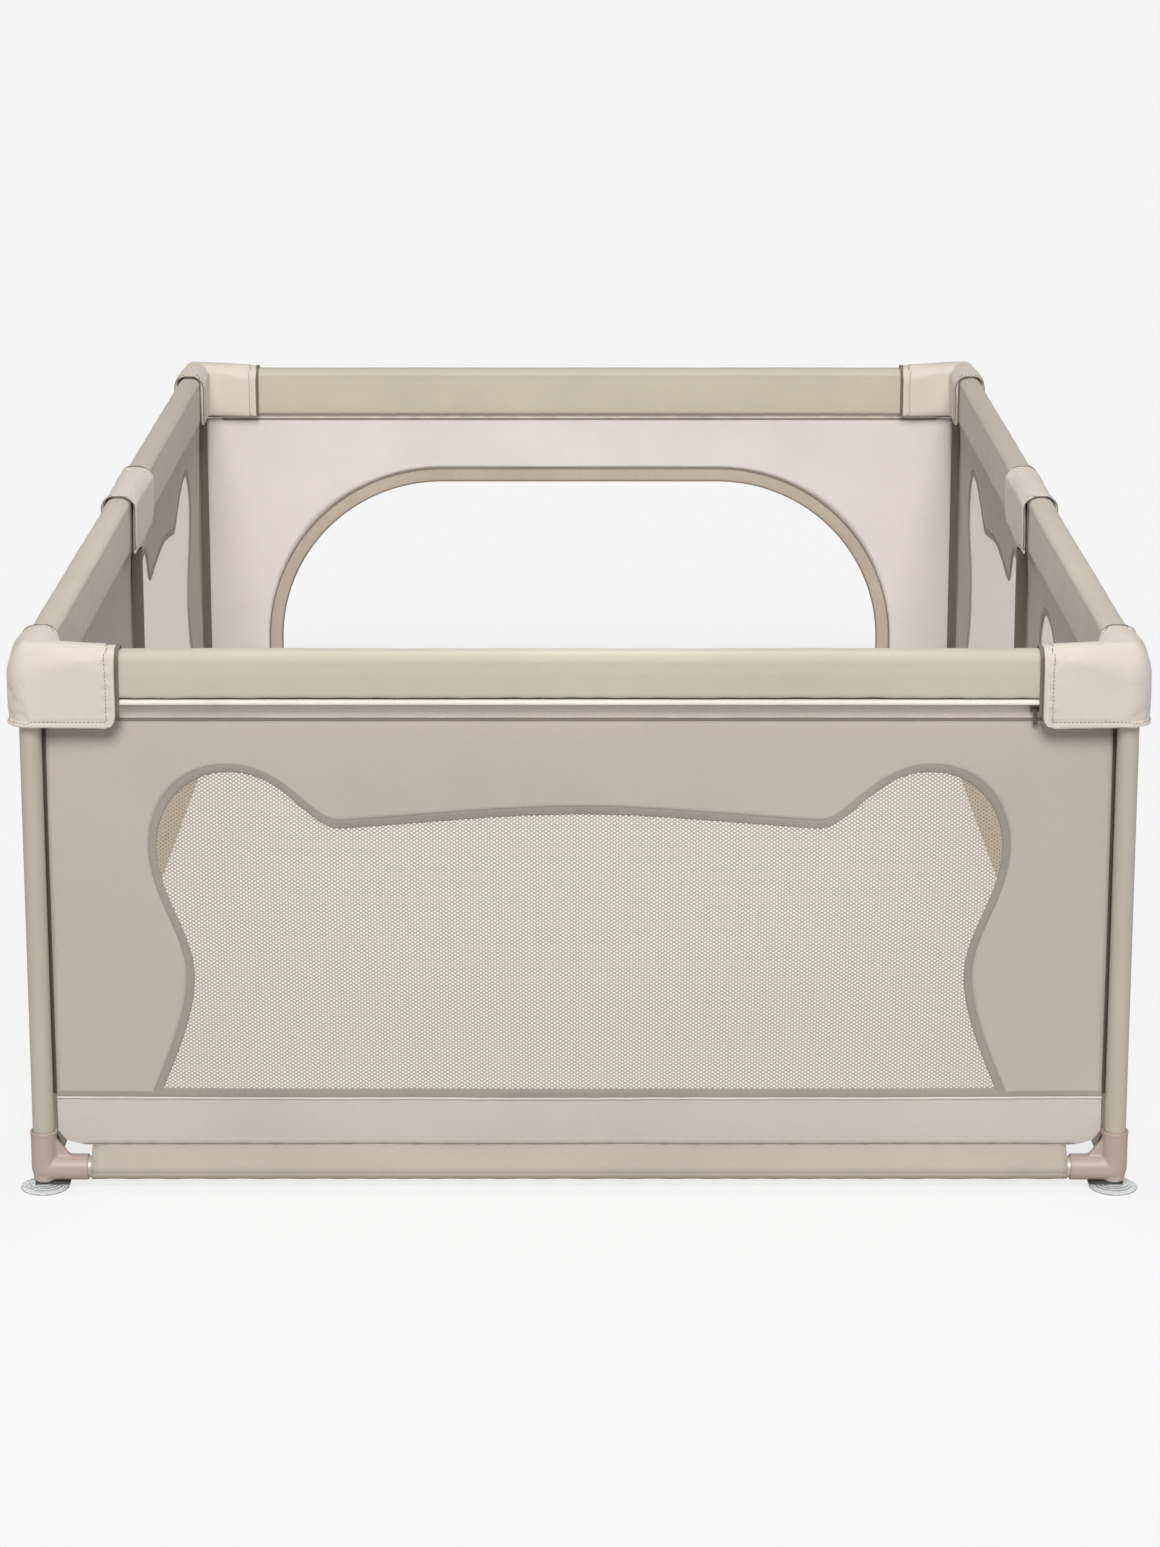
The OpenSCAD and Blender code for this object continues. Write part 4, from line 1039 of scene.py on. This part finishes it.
def spindles(name, places, ways, ups):
    """Stitches as one mesh: at each place a spindle along its way, pointed at both ends, of four rings
    of five points."""
    along = np.array([-0.5, -0.3, 0.3, 0.5])[None, :, None, None]
    wide = np.array([0.25, 1, 1, 0.25])[None, :, None, None]
    angle = ring(5)[None, None, :, None]
    places, ways, ups = (rows[:, None, None] for rows in (places, ways, ups))
    round_it = np.cos(angle) * np.cross(ways, ups) + np.sin(angle) * ups
    points = places + STITCH_LONG * along * ways + STITCH_THICK / 2 * wide * round_it
    one = np.arange(20).reshape(4, 5)
    sides = np.stack([one[:-1], one[1:], np.roll(one[1:], -1, 1), np.roll(one[:-1], -1, 1)], -1)
    first = 20 * np.arange(len(points))[:, None]
    faces = (first[..., None] + sides.reshape(-1, 4)).reshape(-1, 4).tolist()
    faces += (first + one[0][::-1]).tolist() + (first + one[3]).tolist()
    mesh = bpy.data.meshes.new(name)
    mesh.from_pydata(points.reshape(-1, 3), [], faces)
    mesh.shade_smooth()
    return new_object(name, mesh, thread_finish)


def nearest(made, spots):
    """The points of a finished piece's surface nearest to some spots, and the way it faces there."""
    faces = [list(face.vertices) for face in made.data.polygons]
    skin = BVHTree.FromPolygons(points_of(made.data).tolist(), faces)
    found = [skin.find_nearest(spot) for spot in spots]
    return np.array([f[0] for f in found]), np.array([f[1] for f in found])


def sewn(name, made, lines):
    """A row of stitches along each line, laid on the nearest surface of a finished piece."""
    places, ways, ups = [], [], []
    for line in lines:
        far = np.r_[0, np.cumsum(np.linalg.norm(np.diff(line, axis=0), axis=1))]
        at = np.arange(STITCH_PITCH / 2, far[-1], STITCH_PITCH)
        spots, normals = nearest(made, np.stack([np.interp(at, far, line[:, k]) for k in range(3)], -1))
        way = np.gradient(spots, axis=0)
        way -= normals * (way * normals).sum(1)[:, None]
        places.append(spots + 0.05 * STITCH_THICK * normals)
        ways.append(way / np.linalg.norm(way, axis=1)[:, None])
        ups.append(normals)
    return spindles(name, *map(np.vstack, (places, ways, ups)))


def corner_seams(place, end=COVER_REACH - END_HEM):
    """Lines of stitching: along the skirt's lower hem, and up, over and down each arm at its end."""
    out = COVER_OUT + MM
    run = np.linspace(COVER_REACH - END_HEM, 0, 40)
    turn = np.linspace(0, math.pi / 2, 12)
    low = SKIRT_LOW + LOW_HEM
    x = np.r_[run, -out * np.sin(turn), -out + 0 * run]
    y = np.r_[-out + 0 * run, -out * np.cos(turn), run[::-1]]
    d, z = saddle(out, out, COVER_TOP - 5 * MM, COVER_ROUND, COVER_ROUND, low, INNER_LOW + 5 * MM)[0].T
    return [at_post(place, x, y, low), at_post(place, end, d, z), at_post(place, d, end, z)]


def press_corner(made, place):
    """Sinks the stitch lines and the end hems of a corner cover, and rumples it softly."""
    x, y, z = taken_back(*POSTS[place], points_of(made.data))
    outside = (np.minimum(x, y) < 0)
    past = np.maximum(x, y) - (COVER_REACH - END_HEM)
    over = z - (SKIRT_LOW + LOW_HEM)
    end = groove(past, 1.8 * MM)
    hem = (past > 0) * 0.9
    low = groove(over, 1.6 * MM) * outside * (past < 0)
    pull = groove(over, 7 * MM) * np.sin((x - y) / 0.0042) * outside
    rumple = np.sin(x / 0.017 + z / 0.023) * np.sin(y / 0.019 - z / 0.031 + 1.0)
    wave = groove(past, 5 * MM) * np.sin(z / 0.0021) * outside
    press(made, (-1.9 * end - hem - 1.7 * low + 0.45 * pull + 0.5 * wave + 0.35 * rumple) * MM)


def mouth(name, ends):
    """Thin dark lips round each mouth of a cover, standing for the lining's edge. Their dark
    colour is painted shade for the gap between cover and rail. Each end is a grid of points
    two rows deep."""
    for k, grid in enumerate(ends):
        lip = thicken(surface(f"{name}_lining_{k}", grid, mouth_shade_finish), ONE_CLOTH)
        place_piece(lip, "pen", "dark_webbing")


def lining_line(low_in):
    """Rows of outwards-negative distance and of height along the lining, down to low_in inside."""
    c, top = LINING + 0.8 * MM, LINING_TOP + 0.8 * MM
    return saddle(c, c, top, LINING_SHOULDER, LINING_SHOULDER, SKIRT_LOW + SKIRT_ROUND, low_in)[0].T


def beaded(name, made, line):
    """A turned edge of cloth, coloured dark as painted shade, laid along a line on the nearest surface of a
    finished piece.
    """
    spots, ups = nearest(made, line)
    way = np.gradient(spots, axis=0)
    side = np.cross(way, ups)
    side /= np.linalg.norm(side, axis=1)[:, None]
    angle = ring(8)[None, :, None]
    grid = spots[:, None] + EDGE_R * (np.cos(angle) * ups[:, None] + np.sin(angle) * side[:, None])
    return strip(name, grid, mouth_shade_finish)


def trimmed(cover, name, seams, edges):
    """Stitches a cover along its seams and lays a dark turned edge, painted shade, round each of its mouths.
    """
    place_piece(sewn(name + "_stitching", cover, seams), "pen", "cover_fabric")
    for k, line in enumerate(edges):
        place_piece(beaded(f"{name}_edge_{k}", cover, line), "pen", "dark_webbing")


# The dark colour of the mouths' lips and turned edges is painted shade.
mouth_shade_finish = woven("lining_edge_painted_shade", srgb(132, 122, 108), 0.8 * MM, contrast=0.14, lift=0.5)
cover_finish = woven("cover_weave", srgb(219, 210, 197), 0.8 * MM, roughness=0.7, cloud=0.04, sheen=0.2)
thread_finish = grained("sewing_thread", srgb(142, 132, 116), 0.7, 2500.0, 0.1, 0.3, 0.1 * MM)
corners = {place: corner_cover(place) for place in PLACES[:4]}
puff(corners.values(), 2.2 * MM)
for place, cover in corners.items():
    press_corner(subdivided(cover), place)
    place_piece(cover, "pen", "cover_fabric", place + "_corner_cover")
    trimmed(cover, place + "_corner", corner_seams(place), corner_seams(place, COVER_REACH - EDGE_IN)[1:])
    d, z = lining_line(INNER_LOW + MM)
    out = COVER_REACH + np.array([[-MOUTH_IN], [MOUTH_OUT]])
    mouth(place + "_corner", [at_post(place, out, d, z), at_post(place, d, out, z)])

# ---- Middle covers ---------------------------------------------------------
# Shorter saddles over the joint in each side rail. On the inside each has a lapel that
# hangs lowest at the middle post and stands a little off the rail at its ends.

MIDDLE_HALF = 105 * MM
MIDDLE_OUT = 22 * MM
MIDDLE_HEM = 10 * MM
FLARE = 4 * MM                 # how far the lapel's ends stand off the rail
middle_low, middle_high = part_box("middle_left_cover")
LAPEL_LOW, LAPEL_SIDE = middle_low.z, 567 * MM
LAPEL_THICK = 3.4 * MM


def middle_cover(place):
    """Outer cloth and lining of a middle cover; the lapel's lower edge is a rounded V."""
    y = np.linspace(-1, 1, 61)[:, None]
    away = np.abs(y) ** 3
    lapel = LAPEL_LOW + (LAPEL_SIDE - LAPEL_LOW) * np.sqrt(y ** 2 + 0.01) / math.sqrt(1.01)
    past = np.clip((np.abs(y) * MIDDLE_HALF - MIDDLE_HALF + SKIRT_ROUND) / SKIRT_ROUND, 0, 1)
    low = SKIRT_LOW + SKIRT_ROUND * turned_up(past)
    c = MIDDLE_OUT - SLACK
    inwards = c + FLARE * away
    outer = saddle(c, inwards, middle_high.z - SLACK, COVER_ROUND, COVER_ROUND, low, lapel)
    inner = saddle(LINING, inwards - LAPEL_THICK, LINING_TOP, LINING_SHOULDER, LINING_SHOULDER, low, lapel)
    grids = [at_post(place, rows[..., 0], y * MIDDLE_HALF, rows[..., 1]) for rows in (outer, inner)]
    return shell(place + "_padded_cover", *grids, cover_finish)


def press_middle(made, place):
    """Sinks the end hems and the lapel's hem, and rumples the cover softly."""
    x, y, z = taken_back(*POSTS[place], points_of(made.data))
    end = groove(np.abs(y) - (MIDDLE_HALF - MIDDLE_HEM), 1.7 * MM)
    edge = LAPEL_LOW + (LAPEL_SIDE - LAPEL_LOW) * np.abs(y) / MIDDLE_HALF + 8 * MM
    hem = groove(z - edge, 1.6 * MM) * (x > 0) + groove(z - SKIRT_LOW - LOW_HEM, 1.6 * MM) * (x < 0)
    rumple = np.sin(x / 0.015 + y / 0.021) * np.sin(y / 0.027 - z / 0.022 + 2.0)
    press(made, (-1.4 * end - 1.2 * hem + 0.45 * rumple) * MM)


def middle_seams(place, end=MIDDLE_HALF - MIDDLE_HEM):
    """Lines of stitching up, over and down both ends."""
    out = MIDDLE_OUT + MM
    d, z = saddle(out, out, middle_high.z, COVER_ROUND, COVER_ROUND, SKIRT_LOW + 14 * MM,
                  LAPEL_SIDE + 8 * MM)[0].T
    return [at_post(place, d, side * end, z) for side in (-1, 1)]


middles = {place: middle_cover(place) for place in PLACES[4:]}
puff(middles.values(), 1.8 * MM)
for place, cover in middles.items():
    press_middle(subdivided(cover), place)
    place_piece(cover, "pen", "cover_fabric", place + "_cover")
    trimmed(cover, place + "_cover", middle_seams(place), middle_seams(place, MIDDLE_HALF - EDGE_IN))
    d, z = lining_line(LAPEL_SIDE + MM)
    out = MIDDLE_HALF + np.array([[-MOUTH_IN], [MOUTH_OUT]])
    mouth(place, [at_post(place, d, side * out, z) for side in (-1, 1)])

# ---- Rail zips -------------------------------------------------------------
# Under each rail a zip joins its sleeve to the wall: a tape with a raised coil, coloured near
# white as painted light in the lip's shadow; a rolled lip of the sleeve's cloth over it, coloured
# far lighter than the sleeve as a painted highlight; and the turned edge of the wall below,
# coloured dark as painted shade.

ZIP_Z = 576.5 * MM
COIL_PITCH = 1.1 * MM
TAPE_FACE = WALL_INSET - 1.2 * MM


def cord_round(line, radius, sides):
    """A round cord carried along a flat line, as its points in the line's plane and their rise over
    it; radius is one value or a column of them."""
    way = np.gradient(line, axis=0)
    side = np.stack([-way[:, 1], way[:, 0]], 1) / np.linalg.norm(way, axis=1)[:, None]
    radius = np.reshape(radius, (-1, 1))
    return (line[:, None] + (radius * np.cos(ring(sides)))[..., None] * side[:, None],
            radius * np.sin(ring(sides)))


def corded(wall, line, radius, y):
    """Grid of a round cord carried along an (x, z) line in a wall's plane."""
    flat, rise = cord_round(line, radius, 6)
    return at_wall(wall, flat[..., 0], y + rise, flat[..., 1])


def ridged(count, radius):
    """A coil's radius from turn to turn: thick and thin in turn."""
    return radius * (1 - 0.22 * (np.arange(count) % 2))


# The tape is coloured near white as painted light, against the shadow under the lip.
lit_zip_finish = woven("zip_tape_weave_painted_light", srgb(240, 230, 219), 0.7 * MM, contrast=0.12, lift=0.5)
# The lip is the sleeve's cloth, coloured far lighter than the sleeve as a painted highlight.
lit_lip_finish = woven("lip_weave_painted_highlight", srgb(246, 238, 225), 0.8 * MM, roughness=0.7)
# Dark cloth: at the wall's turned top edge its darkness is painted shade; on the door band it makes the dark
# piped edges.
dark_edge_and_shade_finish = woven("edge_weave_dark_and_shade", srgb(140, 130, 117), 0.8 * MM, contrast=0.14, lift=0.5)
coil_finish = grained("zip_coil", srgb(226, 216, 205), 0.4, 900.0, 0.06, 0.1, 0.1 * MM)
zip_section = band_box(TAPE_FACE, WALL_INSET + 1.1 * MM, WALL_TOP - 0.4 * MM, RAIL_BOTTOM + 2.5 * MM,
                       0.6 * MM)
lip_section = band_box(-16.8 * MM, TAPE_FACE + 0.1 * MM, 583.4 * MM, 589.3 * MM, 2.6 * MM)
edge_section = band_box(WALL_INSET - 2.0 * MM, WALL_INSET + 1.5 * MM, WALL_TOP - 3.2 * MM,
                        WALL_TOP + 0.4 * MM, 0.8 * MM)
for wall in WALLS:
    reach = WALLS[wall][2] - RAIL_START
    x, turns = steps(reach, TRIM_STEP), steps(reach, COIL_PITCH)
    tape = strip(wall + "_zip_tape", carried(wall, x, zip_section, sway=0), lit_zip_finish)
    lip = strip(wall + "_zip_lip", carried(wall, x, lip_section, sway=0), lit_lip_finish)
    edge = strip(wall + "_wall_top_edge", carried(wall, x, edge_section), dark_edge_and_shade_finish)
    coil = corded(wall, np.c_[turns, ZIP_Z + 0 * turns], ridged(len(turns), 1.2 * MM), TAPE_FACE - 0.1 * MM)
    teeth = strip(wall + "_zip_coil", coil, coil_finish)
    place_piece(tape, "pen", "zip_tape", "rail_zip_tapes")
    place_piece(lip, "pen", "rail_fabric")
    place_piece(edge, "pen", "dark_webbing")
    place_piece(teeth, "pen", "zip_tape")

slider_finish = grained("slider_metal", srgb(120, 112, 101), 0.35, 700.0, 0.05, 0.15, 0.1 * MM, Metallic=0.7)
for wall in WALLS:
    dress(wall + "_zip_slider", slider_finish)

# ---- Door band -------------------------------------------------------------
# The door's opening is edged by an arched zip band with piped edges. Its half of the coil is
# on the outside, and a tab at each foot holds the end of the cord that the flap turns on.

PIPING_Z = centre("door_hinge_piping")[2]
BAND_FACES = WALL_INSET - 1.7 * MM, WALL_INSET + 1.7 * MM
FOOT_IN, FOOT_OUT = 485.2 * MM, 500 * MM
HEM_R = 3.2 * MM
CORD_R = 1.5 * MM
EDGE_STEP = 6 * MM


def arch_line(middle, radius, side, step):
    """An arch's outline for a row of radii: along the straight side, whose places are a column, round
    the corner about its middle and along the top, then the same mirrored. Given a step, it is one line
    whose points are that far apart."""
    (x0, z0), radius = middle, np.reshape(radius, (1, -1))
    q = np.linspace(0, math.pi / 2, 49)[:, None]
    along = np.linspace(x0, 0, 30)[1:, None]
    x = np.vstack([x0 + radius + 0 * side, x0 + radius * np.cos(q), along + 0 * radius])
    z = np.vstack([side + 0 * radius, z0 + radius * np.sin(q), z0 + radius + 0 * along])
    line = np.stack([np.vstack([x, -x[-2::-1]]), np.vstack([z, z[-2::-1]])], -1)
    return line if step is None else evenly(line[:, 0], step)


def arch(out, step=None):
    """(x, z) of the door's arch moved outwards by a row of distances."""
    middle = DOOR_HALF - DOOR_ROUND, DOOR_LOW + DOOR_RISE - DOOR_ROUND
    side = np.linspace(DOOR_LOW, middle[1], 12)[:-1, None]
    return arch_line(middle, DOOR_ROUND + np.array(out), side, step)


def foot_tab(side):
    """Ring of a rounded (radius, x) outline turned about the hinge's cord."""
    outline = band_box(CORD_R + 0.25 * MM, HEM_R + 0.1 * MM, FOOT_IN, FOOT_OUT, 0.6 * MM)
    turn = ring(32)[:, None]
    return at_wall("back", side * outline[:, 1], WALL_INSET + outline[:, 0] * np.cos(turn),
                   PIPING_Z + outline[:, 0] * np.sin(turn))


door_band_finish = woven("door_band_weave", srgb(190, 177, 162), 0.8 * MM, contrast=0.14, lift=0.5)
section = band_box(0.3 * MM, DOOR_BAND - 0.3 * MM, *BAND_FACES, 0.9 * MM)
flat = arch(section[:, 0])
band = strip("door_band", at_wall("back", flat[..., 0], section[None, :, 1], flat[..., 1]), door_band_finish)
place_piece(band, "pen", "zip_tape", "door_zip_band")
for name, out, y in (("inner", 1.2 * MM, BAND_FACES[1]), ("outer", DOOR_BAND - 1.4 * MM, BAND_FACES[1]),
                     ("rear", DOOR_BAND - 1.4 * MM, BAND_FACES[0])):
    edge = strip(f"door_band_{name}_edge", corded("back", arch(out, EDGE_STEP), 1.3 * MM, y), dark_edge_and_shade_finish)
    place_piece(edge, "pen", "binding")
line = arch(4 * MM, COIL_PITCH)
coil = corded("back", line, ridged(len(line), 1.4 * MM), BAND_FACES[0] - MM)
place_piece(strip("door_band_coil", coil, coil_finish), "pen", "zip_tape")
for side, name in ((1, "left"), (-1, "right")):
    tab = surface(f"door_{name}_foot_tab", foot_tab(side), door_band_finish, round_u=True, round_v=True)
    place_piece(tab, "pen", "zip_tape")
    dress("door_slider_" + name, slider_finish)
dress("door_hinge_piping", piping_and_highlight_finish)

# ---- Door flap -------------------------------------------------------------
# The door itself is a cloth flap hemmed round a cord along its foot. Unzipped, it is let
# down behind the pen, with its far edge on the floor and the half coil underneath.

FLAP_HALF, FLAP_LEN, FLAP_ROUND = 484 * MM, 335.4 * MM, 261 * MM
DROOP = math.radians(21.2353)
FLAP_CLOTH = 1.5 * MM


def at_flap(x, s, up):
    """Points on the let-down flap: x along the wall, s out from the hinge and up from its cloth,
    which billows by three slow waves that fade towards the hinge and lifts a little at its end."""
    rise = np.clip(s / FLAP_LEN, 0, 1)
    wave = (np.sin(x / 0.071 + s / 0.16) + 0.8 * np.sin(x / 0.043 - s / 0.09 + 1.3)
            + 1.1 * np.sin(x / 0.13 + 2.1))
    up = up + 1.3 * MM * wave * np.sin(0.8 * math.pi * rise) + 1.6 * MM * rise ** 2
    z = PIPING_Z - s * math.sin(DROOP) + up * math.cos(DROOP)
    return at_wall("back", x, WALL_INSET - s * math.cos(DROOP) - up * math.sin(DROOP), z)


def flap_edge(inwards, step=None):
    """(x, s) round the flap's edge moved inwards by a row of distances, from hinge to hinge."""
    middle = FLAP_HALF - FLAP_ROUND, FLAP_LEN - FLAP_ROUND
    side = np.linspace(HEM_R, middle[1], 10)[:-1, None]
    return arch_line(middle, FLAP_ROUND - np.array(inwards), side, step)


q = np.linspace(0, math.pi / 2, 40)
s = np.r_[np.linspace(HEM_R - 0.6 * MM, FLAP_LEN - FLAP_ROUND, 12)[:-1],
          FLAP_LEN - FLAP_ROUND + FLAP_ROUND * np.sin(q)][:, None]
width = np.r_[np.full(11, FLAP_HALF), FLAP_HALF - FLAP_ROUND + FLAP_ROUND * np.cos(q)][:, None]
flap = surface("door_flap_cloth", at_flap(width * np.linspace(-1, 1, 141), s, 0.0), wall_finish)

section = band_box(-0.4 * MM, 12 * MM, -FLAP_CLOTH / 2 - 0.5 * MM, FLAP_CLOTH / 2 + 0.5 * MM, 0.5 * MM)
flat = flap_edge(section[:, 0])
edging = strip("door_flap_edging", at_flap(flat[..., 0], flat[..., 1], section[None, :, 1]),
               door_band_finish)

line = flap_edge(3.4 * MM, COIL_PITCH)
flat, rise = cord_round(line, ridged(len(line), 1.1 * MM), 8)
half_coil = strip("door_flap_coil", at_flap(flat[..., 0], flat[..., 1], rise - FLAP_CLOTH / 2 - 0.9 * MM),
                  coil_finish)

x = steps(FLAP_HALF, TRIM_STEP)[:, None]
gathered = HEM_R * (1 + 0.05 * np.sin(x / 0.006) * np.sin(x / 0.031))
roll = at_wall("back", x, WALL_INSET + gathered * np.cos(ring(24)), PIPING_Z + gathered * np.sin(ring(24)))
rolled = thicken(surface("door_flap_hem", roll, wall_finish, round_v=True), ONE_CLOTH, -1)
for piece, slot in ((edging, "zip_tape"), (half_coil, "zip_tape"), (rolled, "wall_fabric")):
    place_piece(piece, "door_flap", slot)
place_piece(flap, "door_flap", "wall_fabric", "door_flap")
thicken(flap, FLAP_CLOTH)
# The flap's upper side gets the lighter lining, which is partly painted light.
lined(flap, (0, math.sin(DROOP), math.cos(DROOP)), lining_and_light_finish)
